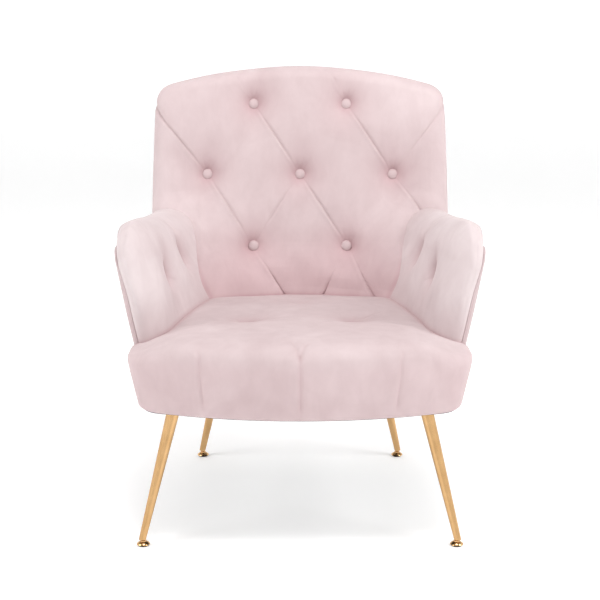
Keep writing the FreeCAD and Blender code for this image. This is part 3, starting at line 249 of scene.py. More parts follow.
def edged(low, high, edge, steps, inside):
    """Values from low to high with a finely divided edge beyond each end."""
    beyond = np.linspace(0, edge, steps)[1:]
    return np.concatenate([low - beyond[::-1], np.linspace(low, high, inside), high + beyond])


def grid_mesh(name, grid, flip=False, closed=True, wrap=False, painted_shade=None, painted_light=None):
    """A mesh of the grid's quads; closed adds a face on the rim, wrap joins the last row to the first.

    hollow, from 0 to 1 at each point, is painted shade for the velvet, deeper in tone inside folds, crevices
    and seams;
    so is nap, painted light and shade by place: from -1, a deeper, pinker painted shade, to 1, a paler
    painted light.
    """
    rows, columns = grid.shape[:2]
    index = np.arange(rows * columns).reshape(rows, columns)
    if wrap:
        index = np.concatenate([index, index[:1]], axis=0)
    quads = np.stack([index[:-1, :-1], index[1:, :-1], index[1:, 1:], index[:-1, 1:]], axis=-1).reshape(-1, 4)
    if flip:
        quads = quads[:, ::-1]
    faces = quads.tolist()
    if closed:
        rim = np.concatenate([index[:-1, 0], index[-1, :-1], index[:0:-1, -1], index[0, :0:-1]])
        faces.append((rim if flip else rim[::-1]).tolist())
    mesh = bpy.data.meshes.new(name)
    mesh.from_pydata(grid.reshape(-1, 3), [], faces)
    smooth = np.ones(len(faces), bool)
    if closed:
        smooth[-1] = False
    mesh.polygons.foreach_set("use_smooth", smooth)
    for key, values in (("painted_shade", painted_shade), ("painted_light", painted_light)):
        if values is not None:
            values = np.broadcast_to(values, grid.shape[:2]).astype(np.float32).ravel()
            mesh.attributes.new(key, "FLOAT", "POINT").data.foreach_set("value", values)
    mesh.update()
    piece = bpy.data.objects.new(name, mesh)
    bpy.context.scene.collection.objects.link(piece)
    return piece


def settle(name, grid, loose, most=0.007):
    """Cloth over its padding: a coarse copy of the cover is blown out like a cushion, held where loose is 0.

    How far it moved out of its face, never more than most, is evened out and spread over the fine grid.
    """
    rows, columns = (np.unique(np.append(np.arange(0, n, COARSE), n - 1)) for n in grid.shape[:2])
    coarse = grid[np.ix_(rows, columns)]
    piece = grid_mesh(name, coarse, closed=False)
    held = piece.vertex_groups.new(name="held")
    for index, value in enumerate(1 - loose[np.ix_(rows, columns)].ravel()):
        held.add([index], float(value), "REPLACE")
    cloth = piece.modifiers.new("cloth", "CLOTH")
    cloth.point_cache.frame_start, cloth.point_cache.frame_end = 1, CLOTH_FRAMES
    settings = cloth.settings
    settings.quality = 6
    settings.mass = 0.3
    settings.tension_stiffness = settings.compression_stiffness = 12
    settings.shear_stiffness = 6
    settings.bending_stiffness = 0.4
    settings.vertex_group_mass = "held"
    settings.use_pressure = True
    settings.uniform_pressure_force = 4.0
    settings.effector_weights.gravity = 0
    for number in range(1, CLOTH_FRAMES + 1):
        bpy.context.scene.frame_set(number)
    blown = piece.evaluated_get(bpy.context.evaluated_depsgraph_get()).data
    found = np.empty(coarse.size, np.float32)
    blown.vertices.foreach_get("co", found)
    bpy.context.scene.frame_set(1)
    bpy.data.objects.remove(piece)
    moved = found.reshape(coarse.shape) - coarse
    outwards = np.clip(np.sum(moved * grid_normals(coarse), axis=-1), 0, most)
    for _ in range(4):
        around = np.pad(outwards, 1, mode="edge")
        beside = around[:-2, 1:-1] + around[2:, 1:-1] + around[1:-1, :-2] + around[1:-1, 2:]
        outwards = beside / 8 + outwards / 2
    return grid + grid_normals(grid) * (spread(outwards, rows, columns, grid.shape) * loose)[..., None]


def spread(values, rows, columns, shape):
    """Values at coarse rows and columns, carried to every row and column by straight interpolation."""
    wide = np.stack([np.interp(np.arange(shape[0]), rows, column) for column in values.T], axis=1)
    return np.stack([np.interp(np.arange(shape[1]), columns, row) for row in wide])


def thicken(piece, thickness, offset):
    """Gives a sheet its thickness, inwards for an offset of -1 and outwards for 1."""
    wall = piece.modifiers.new("cloth_thickness", "SOLIDIFY")
    wall.thickness, wall.offset = thickness, offset


def dressed(piece, material, slot, *nodes):
    """Gives a piece its finish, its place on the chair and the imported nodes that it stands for."""
    piece.data.materials.append(material)
    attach(piece, "root")
    if nodes:
        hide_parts(*nodes)


# ---- folds and tufts -------------------------------------------------------------------------------------

def deepest(*depths):
    """Several hollows together: close to the deepest one, eased where they meet."""
    return sum(np.maximum(depth, 0) ** 3 for depth in depths) ** (1 / 3)


def tuft(u, v, place, depth, radius, stretch=1.0):
    """A buttoned hollow: flat under the button, then rising steeply and levelling out, as an exponential."""
    r = np.hypot(u - place[0], (v - place[1]) / stretch)
    return depth * np.exp(-(np.maximum(r - 0.35 * BUTTON_RADIUS, 0) / radius) ** 0.9)


def beside_line(u, v, start, end):
    """Of a line: the share of its run that a place has come, and how far off it lies, with a side."""
    run_u, run_v = end[0] - start[0], end[1] - start[1]
    length = math.hypot(run_u, run_v)
    along = ((u - start[0]) * run_u + (v - start[1]) * run_v) / length**2
    side = (run_u * (v - start[1]) - run_v * (u - start[0])) / length
    return along, side


def pleat(u, v, start, end, depth, crisp=0.0030, soft=0.015, middle=0.35, ends=(1.0, 1.0)):
    """A folded pleat between two points: crisp on its left, soft on its right, shallower in the middle.

    Its section is an exponential to each side, with a narrow bell for the groove itself.
    """
    along, side = beside_line(u, v, start, end)
    inside = np.clip(along, 0, 1)
    off_u = u - start[0] - inside * (end[0] - start[0])
    off_v = v - start[1] - inside * (end[1] - start[1])
    width = np.where(side < 0, crisp, soft)
    distance = np.hypot(off_u, off_v)
    level = ends[0] + (ends[1] - ends[0]) * inside
    level = level * (1 - (1 - middle) * np.sin(math.pi * inside) ** 0.8)
    rounded = np.sqrt(distance**2 + 0.0008**2) - 0.0008
    groove = np.exp(-((distance / 0.0022) ** 2))
    return depth * level * (0.55 * np.exp(-rounded / width) + 0.45 * groove)


def lip(u, v, start, end, height, offset=0.0042, width=0.0030):
    """The rolled edge of cloth that lies beside a folded pleat, on its crisp side: a bell across it."""
    along, side = beside_line(u, v, start, end)
    return height * step_up(along * 5) * step_up((1 - along) * 5) * np.exp(-(((side + offset) / width) ** 2))


# ---- back ------------------------------------------------------------------------------------------------

BACK_HIDDEN = 0.330
BACK_CORNER = 0.044
BACK_ROLL = 0.024
BACK_END = 0.014
BACK_THICKNESS = 0.100
BACK_INTO = unit(np.array([0, 1.0, -0.09]))
FACE_WAY = unit(np.array([0, FRONT_LEAN, 1.0]))
FACE_INTO = unit(np.array([0, 1.0, -FRONT_LEAN]))
BACK_SECTION = (BACK_CORNER - BACK_ROLL, BACK_ROLL, BACK_THICKNESS - BACK_ROLL - BACK_END, BACK_END)
BACK_BAND = roll_length(*BACK_SECTION)
BACK_CORE_HALF = 0.258
BACK_CORE_HIGH = TOP - BACK_CORNER - BACK_HIDDEN

# A folded pleat runs from button to button, and has a depth of its own on each stretch.
FOLDED_RUNS = [
    ([(-0.325, 0.775), BACK_BUTTONS[2], BACK_BUTTONS[5], (-0.033, 0.372)], (0.95, 1.0, 0.8)),
    ([(-0.130, 0.812), BACK_BUTTONS[0], BACK_BUTTONS[3], BACK_BUTTONS[6], (0.156, 0.372)],
     (0.35, 1.0, 1.0, 0.8)),
    ([(0.070, 0.812), BACK_BUTTONS[1], BACK_BUTTONS[4], (0.262, 0.530)], (0.35, 1.0, 0.8)),
]
FOLDED_PLEATS = [stretch for run, levels in FOLDED_RUNS for stretch in zip(run, run[1:], levels)]
SOFT_PLEATS = [
    ((0.330, 0.792), BACK_BUTTONS[4], 0.60), (BACK_BUTTONS[3], BACK_BUTTONS[5], 0.80),
    (BACK_BUTTONS[6], (0.048, 0.372), 0.70), (BACK_BUTTONS[4], BACK_BUTTONS[6], 0.30),
    (BACK_BUTTONS[0], BACK_BUTTONS[2], 0.25), (BACK_BUTTONS[1], BACK_BUTTONS[3], 0.25),
]
PUCKERS = [(-0.028, 0.030), (-0.012, 0.040), (0.008, 0.042), (0.024, 0.032)]


def back_wrap(x, z):
    """How far the lower back curves forward towards the arms: a parabola that fades out with height."""
    return 2.3 * np.minimum(abs(x), 0.205) ** 2 * (1 - step_up((z - 0.40) / 0.19))


def back_core(p, q):
    """The back's face: its width and arch follow the outline, and it lies in the leaning plane."""
    z_level = BACK_HIDDEN + q
    tucked = 0.012 * (1 - step_up((z_level - 0.520) / 0.020)) + 0.008 * (1 - step_up((z_level - 0.40) / 0.08))
    x = p / BACK_CORE_HALF * (back_half(z_level) - tucked - BACK_CORNER)
    crest = back_top(x) - BACK_CORNER
    z = BACK_HIDDEN + (crest - BACK_HIDDEN) * q / BACK_CORE_HIGH
    up = unit(FACE_WAY + points(x / ARCH_RADIUS, 0.0, 0.0))
    return points(x, back_face(z) - back_wrap(x, z), z), RIGHT, up


def back_section(face, way, reach, angle):
    """The back's rolled edge, which ends at the outside back; with each point goes its place laid flat."""
    out, back = roll(reach, *BACK_SECTION)
    depth = (rear_face(face[..., 2]) - face[..., 1]) / (BACK_THICKNESS * BACK_INTO[1])
    back = back * (1 + (depth - 1) * step_up(back / BACK_THICKNESS))
    grid = face + out[..., None] * way + back[..., None] * BACK_INTO
    unrolled = face + reach[..., None] * way
    return np.concatenate([grid, unrolled], axis=-1)


def back_relief(x, z):
    """Hollows and swelling of the buttoned back, as a height out of its face, and how deep its folds are."""
    hollows = [tuft(x, z, place, BACK_TUFT, 0.021) for place in BACK_BUTTONS]
    folds = [pleat(x, z, start, end, 0.0105 * level, crisp=0.0024, soft=0.011, middle=0.45)
             for start, end, level in FOLDED_PLEATS]
    softer = [pleat(x, z, start, end, 0.010 * level, crisp=0.006, soft=0.011)
              for start, end, level in SOFT_PLEATS]
    for place in BACK_BUTTONS:
        for across, rise in PUCKERS:
            end = (place[0] + across, place[1] + rise)
            folds.append(pleat(x, z, place, end, 0.0125, crisp=0.004, soft=0.004, ends=(1, 0), middle=1.0))
    edges = sum(lip(x, z, start, end, 0.0009 * level) for start, end, level in FOLDED_PLEATS)
    depth = deepest(*hollows, *folds, *softer)
    return 0.005 - depth + edges, np.clip(depth / 0.016, 0, 1)


def make_back(velvet):
    """The inside back: buttoned, pleated and swollen, with painted shade in its folds and a deeper painted
    shade low towards the seat.
    """
    pitch = 0.0020
    across = lines(-BACK_CORE_HALF - BACK_BAND, BACK_CORE_HALF + BACK_BAND, pitch)
    upward = lines(0, BACK_CORE_HIGH + BACK_BAND, pitch)
    both = rolled_cover(across, upward, (-BACK_CORE_HALF, BACK_CORE_HALF, 0, BACK_CORE_HIGH), back_core,
                        back_section)
    grid, unrolled = both[..., :3], both[..., 3:]
    normals = grid_normals(grid)
    x, z = unrolled[..., 0], unrolled[..., 2]
    beyond = np.maximum(abs(x) - back_half(z), z - back_top(x))
    keep = 1 - step_up((beyond - 0.002) / 0.030)
    relief, painted_shade = back_relief(x, z)
    grid = grid + normals * (relief * keep)[..., None]
    grid = settle("back_cloth", grid, keep * (1 - step_up(painted_shade * 1.8)))
    x, y, z = abs(grid[..., 0]), grid[..., 1], grid[..., 2]
    # Painted shade: the cover darkens where it goes down beside the arms and into the seat, on top of the
    # painted shade in its folds.
    beside = crevice_shade(abs(arm_inside(y, z) - ARM_GAP - x), 0.004) * (1 - step_up((z - 0.48) / 0.05))
    low = np.maximum(crevice_shade(z - seat_top(x, y)) * (z > 0.33) * (y < BACK_FOOT + 0.06), 0.6 * beside)
    painted_shade = np.maximum(painted_shade * keep, low)
    # Painted shade, deeper and pinker, low on the back, fading out upwards.
    painted_light = -0.9 * (1 - step_up((z - 0.385) / 0.16))
    piece = grid_mesh("inside_back_upholstery", grid, painted_shade=painted_shade, painted_light=painted_light)
    dressed(piece, velvet, "velvet", "inside_back_cover", "back_foam")


# ---- seat ------------------------------------------------------------------------------------------------

SEAT_ROLL = 0.026
SEAT_END = 0.008
SEAT_BASE = UNDERSIDE - COVER
SEAT_DROP = SEAT_EDGE - SEAT_BASE
SEAT_SECTION = (CORNER_RADIUS - SEAT_ROLL, SEAT_ROLL, SEAT_DROP - SEAT_ROLL - SEAT_END, SEAT_END)
SEAT_BAND = roll_length(*SEAT_SECTION)
SEAT_CORE_HALF = SEAT_HALF - CORNER_RADIUS
SEAT_CORE_REAR = BACK_FOOT + 0.020
SEAT_CORE_DEEP = SEAT_CORE_REAR - SEAT_FRONT - CORNER_RADIUS
SEAT_TAPER = 0.0185
BLIND_TUFTS = [(-0.099, -0.128), (0.099, -0.128), (0.0, 0.046)]
LEFT_TUFT, RIGHT_TUFT, REAR_TUFT = BLIND_TUFTS
# A fold's start and end, its depth, and the share of that depth at either end.
SEAT_FOLDS = [
    ((-0.001, -0.368), (-0.020, -0.318), 0.0050, (1, 0.1)),
    ((0.001, -0.368), (0.017, -0.326), 0.0042, (1, 0.1)),
    (LEFT_TUFT, (-0.150, -0.106), 0.0110, (1, 0.1)),
    ((-0.048, -0.098), LEFT_TUFT, 0.0100, (0, 1)),
    ((-0.160, -0.215), LEFT_TUFT, 0.0030, (0, 1)),
    (RIGHT_TUFT, (0.158, -0.070), 0.0110, (1, 0.1)),
    ((0.040, -0.196), RIGHT_TUFT, 0.0090, (0, 1)),
    (REAR_TUFT, (0.030, 0.070), 0.0040, (1, 0)),
]
FRONT_PLEATS = (-0.178, 0.0, 0.178)


def seat_core(p, q):
    """The seat's top: across the chair and from the back to the front, where it follows the bow."""
    x = p
    bow = BOW_RADIUS - np.sqrt(BOW_RADIUS**2 - x**2)
    front = SEAT_FRONT + CORNER_RADIUS + bow
    y = SEAT_CORE_REAR + (front - SEAT_CORE_REAR) * q / SEAT_CORE_DEEP
    z = SEAT_EDGE - SEAT_SLOPE * (y - SEAT_FRONT)
    behind = step_up((y - ARM_FOOT_NOSE + 0.004) / 0.030)
    x = x * (1 - behind * (1 - (outside(y, 0.300) - 0.030 - CORNER_RADIUS) / SEAT_CORE_HALF))
    return points(x, y, z), RIGHT, unit(points(x / BOW_RADIUS, -1.0, 0.0))


def seat_section(face, way, reach, angle):
    """The seat's edge: rolled over, upright with a taper below the seat's level, and turned under."""
    out, down = roll(reach, *SEAT_SECTION)
    down = down * (face[..., 2] - SEAT_BASE) / SEAT_DROP
    z = face[..., 2] - down
    out = out - SEAT_TAPER * np.clip((SEAT_LEVEL - z) / (SEAT_LEVEL - SEAT_BASE), 0, 1) ** 1.2
    grid = face + out[..., None] * way - down[..., None] * UP
    height = (grid[..., 2] - SEAT_BASE) / SEAT_DROP
    grid[..., 2] -= seat_side_drop(grid[..., 0]) * np.clip(height, 0, 1) ** 2
    return grid


def seat_relief(x, y, z):
    """Shallow blind tufts and crown of the seat's top, and the upright pleats of its front."""
    top = step_up((z - 0.366) / 0.020)
    hollows = [tuft(x, y, place, 0.014 if place[0] else 0.006, 0.020) for place in BLIND_TUFTS]
    folds = [pleat(x, y, start, end, depth, crisp=0.004, soft=0.010, ends=ends, middle=0.8)
             for start, end, depth, ends in SEAT_FOLDS]
    front = (1 - step_up((z - 0.380) / 0.014)) * step_up((-0.21 - y) / 0.02)
    upright = 0.0
    for place in FRONT_PLEATS:
        distance = x - place * (0.94 + 0.06 * (z - UNDERSIDE) / SEAT_DROP)
        level = 0.0030 if place == 0 else 0.0018
        width = np.where(distance < 0, 0.0022, 0.0055)
        upright = upright + level * np.exp(-abs(distance) / width)
    upright = upright * step_up((z - UNDERSIDE - 0.006) / 0.020)
    folded, pleated = top * deepest(*hollows, *folds), front * upright
    return top * seat_crown(x, y) - folded - pleated, np.clip(folded / 0.014 + pleated / 0.0075, 0, 1)


def make_seat(velvet):
    """The tight seat: its cover is loose on top and in front, and held under the arms and the back."""
    pitch = 0.0024
    across = lines(-SEAT_CORE_HALF - SEAT_BAND, SEAT_CORE_HALF + SEAT_BAND, pitch)
    forward = lines(0, SEAT_CORE_DEEP + SEAT_BAND, pitch)
    grid = rolled_cover(across, forward, (-SEAT_CORE_HALF, SEAT_CORE_HALF, 0, SEAT_CORE_DEEP), seat_core,
                        seat_section)
    normals = -grid_normals(grid)
    relief, painted_shade = seat_relief(grid[..., 0], grid[..., 1], grid[..., 2])
    grid = grid + normals * relief[..., None]
    y, z = grid[..., 1], grid[..., 2]
    before_back = step_up((0.150 - y) / 0.030)
    above_rail = step_up((z - SEAT_BASE - 0.004) / 0.030)
    uncovered = np.where(y > ARM_FOOT_NOSE, step_up((z - ARM_FOOT) / 0.020), 1)
    free = before_back * above_rail * uncovered * (1 - step_up(painted_shade * 1.6))
    grid = settle("seat_cloth", grid[:, ::-1], free[:, ::-1], most=0.005)[:, ::-1]
    x, y, z = abs(grid[..., 0]), grid[..., 1], grid[..., 2]
    # Painted shade where the seat goes down beside the arms, behind it at the back and at the arms' noses, on
    # top of the painted shade in its folds.
    beside = np.where(y > -0.190, arm_inside(y, z) - ARM_GAP - x, 1)
    behind = back_face(z) - back_wrap(x, z) - 0.006 - y
    at_nose = np.where(x > 0.235, -0.214 - y, 1)
    near = np.minimum(np.minimum(beside, behind), at_nose)
    painted_shade = np.maximum(painted_shade, 0.8 * crevice_shade(near) * step_up((z - ARM_FOOT) / 0.012))
    # Painted shade, a little deeper and pinker, low on the seat's front.
    painted_light = -0.3 * (1 - step_up((z - 0.345) / 0.045))
    piece = grid_mesh("seat_upholstery", grid, flip=True, painted_shade=painted_shade, painted_light=painted_light)
    dressed(piece, velvet, "velvet", "seat_cover", "seat_foam")


# ---- arms ------------------------------------------------------------------------------------------------

ARM_HIDDEN = 0.345
ARM_REAR = 0.235
ARM_FRONT_CORE = -0.172
ARM_LENGTH = ARM_REAR - ARM_FRONT_CORE
ARM_HEIGHT = 0.190
ARM_BAND = 0.110
SEAM_ROUND = 0.030
SEAM_TOP = ARM_LEVEL - 0.004
SEAM_FRONT = -0.197

FRONT_BUTTON, REAR_BUTTON = ARM_BUTTONS
# A fold's start and end, its depth, its width on either side, and the shares of its depth: ends and middle.
ARM_FOLDS = [
    ((-0.080, 0.525), FRONT_BUTTON, 0.020, (0.004, 0.012), (0, 1), 0.7),
    (FRONT_BUTTON, (-0.114, 0.451), 0.022, (0.003, 0.005), (1, 0), 0.7),
    (FRONT_BUTTON, (-0.056, 0.443), 0.020, (0.003, 0.005), (1, 0), 0.7),
    ((0.056, 0.575), REAR_BUTTON, 0.014, (0.005, 0.013), (0.1, 1), 0.8),
    (REAR_BUTTON, (0.086, 0.430), 0.014, (0.003, 0.007), (1, 0), 0.6),
]


def arm_crest(y):
    """Height of the arm's crest, highest near its front."""
    return through(y, (-0.22, -0.15, 0.0, 0.15, 0.24), (0.578, 0.577, 0.561, 0.552, 0.550))


def seam_inset(z):
    """How far the seam lies inside the chair's outside: the panel swells past it, less under the crest."""
    return 0.0125 - 0.0075 * step_up((z - 0.440) / 0.100)


def seam_top(y):
    """Height of the seam under the arm's crest, a little lower towards the back."""
    return SEAM_TOP - 0.020 * step_up((y + 0.10) / 0.28)


def arm_roll_start(y):
    """Height at which the arm's inner face starts to roll over its crest."""
    return arm_crest(y) - through(y, (-0.22, -0.05, 0.08, 0.24), (0.060, 0.058, 0.050, 0.044))


def arm_rise(y):
    """Reach of the roll over the crest, so that its top comes out at the crest's height."""
    return (arm_crest(y) - (arm_roll_start(y) + seam_top(y)) / 2) / 0.95


def arm_core(p, q):
    """The arm's inner face: it runs from the back to the nose, and leans out as it rises."""
    low_front = ARM_FRONT_CORE + 0.004
    y = ARM_REAR + (ARM_FRONT_CORE - ARM_REAR) * p / ARM_LENGTH
    z = ARM_HIDDEN + (arm_roll_start(y) - ARM_HIDDEN) * q / ARM_HEIGHT
    y = y + (low_front - ARM_FRONT_CORE) * (p / ARM_LENGTH) * (1 - q / ARM_HEIGHT)
    forward = unit(points(0.215, -1.0, 0.0))
    up = unit(points(0.12 + 0.28 * step_up((y + 0.17) / 0.30), 0.0, 1.0))
    return points(arm_inside(y, z), y, z), forward, up


def arm_seam(y, z, way, at_front, at_top):
    """Where the arm's cover ends: along the piping, up the front and back along the top."""
    seam_z = np.where(at_top > 0, seam_top(y) - SEAM_ROUND, z)
    seam_z = seam_z + at_front * (1 - at_top) * (seam_top(y) - SEAM_ROUND - arm_roll_start(y)) \
        * ((z - ARM_HIDDEN) / (arm_roll_start(y) - ARM_HIDDEN)) ** 2
    front_y = SEAM_FRONT + SEAM_ROUND
    seam_y = np.where(at_front > 0, front_y, np.maximum(y, front_y))
    seam_y = seam_y + SEAM_ROUND * way[..., 1] * at_front
    seam_z = seam_z + SEAM_ROUND * way[..., 2] * at_top
    return points(outside(seam_y, seam_z) - seam_inset(seam_z) - 0.001, seam_y, seam_z)


def arm_section(face, way, reach, angle):
    """Half an ellipse from the inner face over the nose or the crest to the seam on the outer side."""
    y, z = face[..., 1], face[..., 2]
    at_front = np.where(angle < QUARTER, 1.0, 0.0)
    at_top = np.where(angle > 0, 1.0, 0.0)
    lift = np.sin(angle) ** 2
    nose = 0.046 - 0.006 * step_up((0.46 - z) / 0.08)
    rise = nose * (1 - lift) + arm_rise(y) * lift
    turn = math.pi * reach / ARM_BAND
    seam = arm_seam(y, z, way, at_front, at_top)
    out = rise * np.clip(np.sin(turn), 0, 1) ** 0.85
    across = (1 - np.cos(turn)) / 2
    bulge = way * out[..., None]
    bulge[..., 0] *= 1 - 0.9 * across**2 * at_front
    return face + (seam - face) * across[..., None] + bulge


def arm_relief(y, z):
    """Hollows of the arm's inner face: two buttons, each with a groove above it and short folds below it."""
    hollows = [tuft(y, z, place, ARM_TUFT, 0.014, stretch=1.3) for place in ARM_BUTTONS]
    for start, end, depth, (crisp, soft), ends, middle in ARM_FOLDS:
        hollows.append(pleat(y, z, start, end, depth, crisp=crisp, soft=soft, ends=ends, middle=middle))
    swelling = 0.005 * step_up((z - 0.395) / 0.070)
    depth = deepest(*hollows)
    return swelling - depth, np.clip(depth / 0.020, 0, 1)


def make_arm(side, sign, velvet):
    """An arm's inner face, nose and crest, made for the right side and mirrored for the left."""
    pitch = 0.0024
    along = lines(0, ARM_LENGTH + ARM_BAND, pitch)
    upward = lines(0, ARM_HEIGHT + ARM_BAND, pitch)
    grid = rolled_cover(along, upward, (0, ARM_LENGTH, 0, ARM_HEIGHT), arm_core, arm_section)
    normals = grid_normals(grid)
    share = step_up((0.15 - normals[..., 0]) / 0.6)
    relief, painted_shade = arm_relief(grid[..., 1], grid[..., 2])
    grid = grid + normals * (relief * share)[..., None]
    row, column = np.indices(grid.shape[:2])
    from_end = np.minimum(np.minimum(row, grid.shape[0] - 1 - row), grid.shape[1] - 1 - column)
    above_seat = step_up((grid[..., 2] - 0.395) / 0.060)
    free = step_up(from_end / 12) * (1 - step_up(painted_shade * share * 1.6)) * above_seat
    grid = settle("arm_cloth", grid, free, most=0.005)
    # Painted shade where the arm goes down onto the seat and along the cover's edges at its seams, on top of
    # the painted shade in its folds.
    low = crevice_shade(grid[..., 2] - seat_top(grid[..., 0], grid[..., 1]), 0.0065)
    painted_shade = np.maximum(np.maximum(painted_shade * share, low), 0.9 * (1 - step_up((from_end - 1) / 3)))
    # Painted light: the arm paler high up and towards its front.
    painted_light = step_up((grid[..., 2] - 0.36) / 0.10) * step_up((0.24 - grid[..., 1]) / 0.16)
    grid[..., 0] *= sign
    piece = grid_mesh(f"{side}_arm_upholstery", grid, flip=sign < 0, painted_shade=painted_shade, painted_light=painted_light)
    dressed(piece, velvet, "velvet", f"{side}_inside_arm_cover", f"{side}_arm_foam")


# ---- outside panels --------------------------------------------------------------------------------------

PANEL_EDGE = 0.024


def make_outside_panel(side, sign, velvet):
    """The outside arm: a sheet pulled over the frame, proud in the middle and drawn in at its seams."""
    def core(p, q):
        """From the panel's front to its rear, and from its foot to its top."""
        front = SEAM_FRONT + PANEL_EDGE
        level = front + (rear_face(UNDERSIDE + PANEL_EDGE + q * high) - 0.002 - PANEL_EDGE - front) * p
        z = SEAT_BASE + PANEL_EDGE + (seam_top(level) - SEAT_BASE - 2 * PANEL_EDGE) * q
        y = front + (rear_face(z) - 0.002 - PANEL_EDGE - front) * p
        return points(outside(y, z), y, z), REARWARD, UP

    def section(face, way, reach, angle):
        """Its edges: corners square but for the front top one, seams drawn in, the front foot further on."""
        square = 1 / np.maximum(abs(way[..., 1]), abs(way[..., 2]))
        square = np.where((way[..., 1] < 0) & (way[..., 2] > 0), 1.0, square)
        flat = face + way * (reach * square)[..., None]
        y, z = flat[..., 1], flat[..., 2]
        y = y - 0.008 * np.clip(-way[..., 1], 0, 1) * (1 - step_up((z - 0.315) / 0.050))
        seamed = np.clip(np.maximum(-way[..., 1], way[..., 2]), 0, 1)
        sunk = 0.0035 + (seam_inset(z) - COVER) * seamed
        return points(outside(y, z) - sunk + (sunk + COVER) * (1 - (reach / PANEL_EDGE) ** 3), y, z)

    high = SEAM_TOP - UNDERSIDE - 2 * PANEL_EDGE
    p = edged(0, 1, PANEL_EDGE, 13, 101)
    q = edged(0, 1, PANEL_EDGE, 13, 61)
    grid = rolled_cover(p, q, (0, 1, 0, 1), core, section)
    row, column = np.indices(grid.shape[:2])
    rim = np.minimum(row, grid.shape[1] - 1 - column)
    grid[..., 0] *= sign
    # Painted shade along the panel's front and top edges, where it meets the seams.
    piece = grid_mesh(f"{side}_outside_arm_panel", grid, flip=sign < 0, closed=False,
                      painted_shade=0.9 * (1 - step_up((rim - 1) / 3)))
    thicken(piece, COVER, -1)
    dressed(piece, velvet, "velvet", f"{side}_outside_arm_cover")


def make_outside_back(velvet):
    """The outside back: a sheet pulled flat over the frame, drawn in along its seams."""
    edge = 0.036

    def core(p, q):
        """From the back's left to its right, and from its foot to the arch."""
        top = TOP - 0.020 - edge
        z_level = UNDERSIDE + edge + (top - UNDERSIDE - edge) * q
        inset = 0.0058 + 0.0072 * step_up((z_level - 0.530) / 0.030)
        x = p * (back_half(z_level) - inset - edge)
        crest = back_top(x) - 0.022 - edge
        z = SEAT_BASE + edge + (crest - SEAT_BASE - edge) * q
        return points(x, rear_face(z), z), RIGHT, unit(points(x / ARCH_RADIUS * (q > 0.5), REAR_LEAN, 1.0))

    def section(face, way, reach, angle):
        """Its edges: round corners above and square ones below, the sheet a little proud in its middle."""
        puff = 0.004 * (1 - (reach / edge) ** 2) - 0.003 * (reach / edge) ** 6
        square = np.where(way[..., 2] < 0, 1 / np.maximum(abs(way[..., 0]), abs(way[..., 2])), 1.0)
        grid = face + way * (reach * square)[..., None]
        grid[..., 1] = rear_face(grid[..., 2]) + puff
        return grid

    p = edged(-1, 1, edge, 15, 141)
    q = edged(0, 1, edge, 15, 121)
    grid = rolled_cover(p, q, (-1, 1, 0, 1), core, section)
    piece = grid_mesh("outside_back_panel", grid, flip=True, closed=False)
    thicken(piece, COVER, -1)
    dressed(piece, velvet, "velvet", "outside_back_cover")


def make_piping(side, sign, velvet):
    """The piping: a round cord sewn along the panel's front and top edges."""
    radius = SEAM_ROUND
    corner_y, corner_z = SEAM_FRONT + radius, SEAM_TOP - radius
    low_z, rear_y = 0.352, 0.300
    turn = np.linspace(0, QUARTER, 16)[1:-1]
    along = np.linspace(corner_y, rear_y, 140)
    y = np.concatenate([np.full(60, SEAM_FRONT), corner_y - radius * np.cos(turn), along])
    z = np.concatenate([np.linspace(low_z, corner_z, 60), corner_z + radius * np.sin(turn), seam_top(along)])
    line = points(outside(y, z) - seam_inset(z) + 0.0012, y, z)
    line[..., 0] *= sign
    piece = tube_mesh(f"{side}_arm_welt", line, PIPING_RADIUS)
    dressed(piece, velvet, "velvet", f"{side}_arm_piping")


def tube_mesh(name, line, radius, around=12):
    """A round tube: circles square to the line, turned about a fixed side direction, closed at both ends."""
    tangent = unit(np.gradient(line, axis=0))
    side = unit(np.cross(tangent, np.array([1.0, 0, 0])))
    other = np.cross(tangent, side)
    turn = np.linspace(0, 2 * math.pi, around, endpoint=False)
    circle = np.cos(turn)[:, None, None] * side[None] + np.sin(turn)[:, None, None] * other[None]
    grid = line[None] + circle * radius
    ends = line[[0, -1]] + tangent[[0, -1]] * np.array([[-1], [1]]) * radius * 0.6
    start, end = (np.repeat(tip[None, None], around, axis=0) for tip in ends)
    grid = np.concatenate([start, grid, end], axis=1)
    return grid_mesh(name, grid, flip=True, closed=False, wrap=True)


# ---- buttons ---------------------------------------------------------------------------------------------

def button_grid(place, way):
    """A covered button: a flat dome over a rolled rim, its cloth gathered in small folds towards the back."""
    turn = np.linspace(0, 2 * math.pi, 96, endpoint=False)
    across = np.array([0.0, 0.25, 0.5, 0.7, 0.85, 0.95, 1.0, 1.0, 0.95, 0.84, 0.74])
    rise = np.array([1.0, 0.96, 0.83, 0.65, 0.44, 0.22, 0.0, -0.22, -0.42, -0.58, -0.66])
    gather = np.clip(across - 0.7, 0, 1) / 0.3 * (rise < 0.5)
    ripple = 1 + 0.022 * gather[None] * np.cos(18 * turn)[:, None]
    side = unit(np.cross(way, np.array([0, 0, 1.0])))
    up = np.cross(side, way)
    radius = BUTTON_RADIUS * across[None] * ripple
    height = BUTTON_DOME * rise[None] + np.zeros_like(radius)
    circle = np.cos(turn)[:, None, None] * side + np.sin(turn)[:, None, None] * up
    return place + radius[..., None] * circle - height[..., None] * way


def make_button(name, place, way, velvet, *nodes):
    """One button, with painted shade deepening from its middle to the cloth drawn in behind it."""
    grid = button_grid(place, way)
    painted_shade = np.broadcast_to(np.array([0.25, 0.25, 0.25, 0.30, 0.60, 0.90, 1, 1, 1, 1, 1]), grid.shape[:2])
    dressed(grid_mesh(name, grid, closed=False, wrap=True, painted_shade=painted_shade), velvet, "velvet", *nodes)


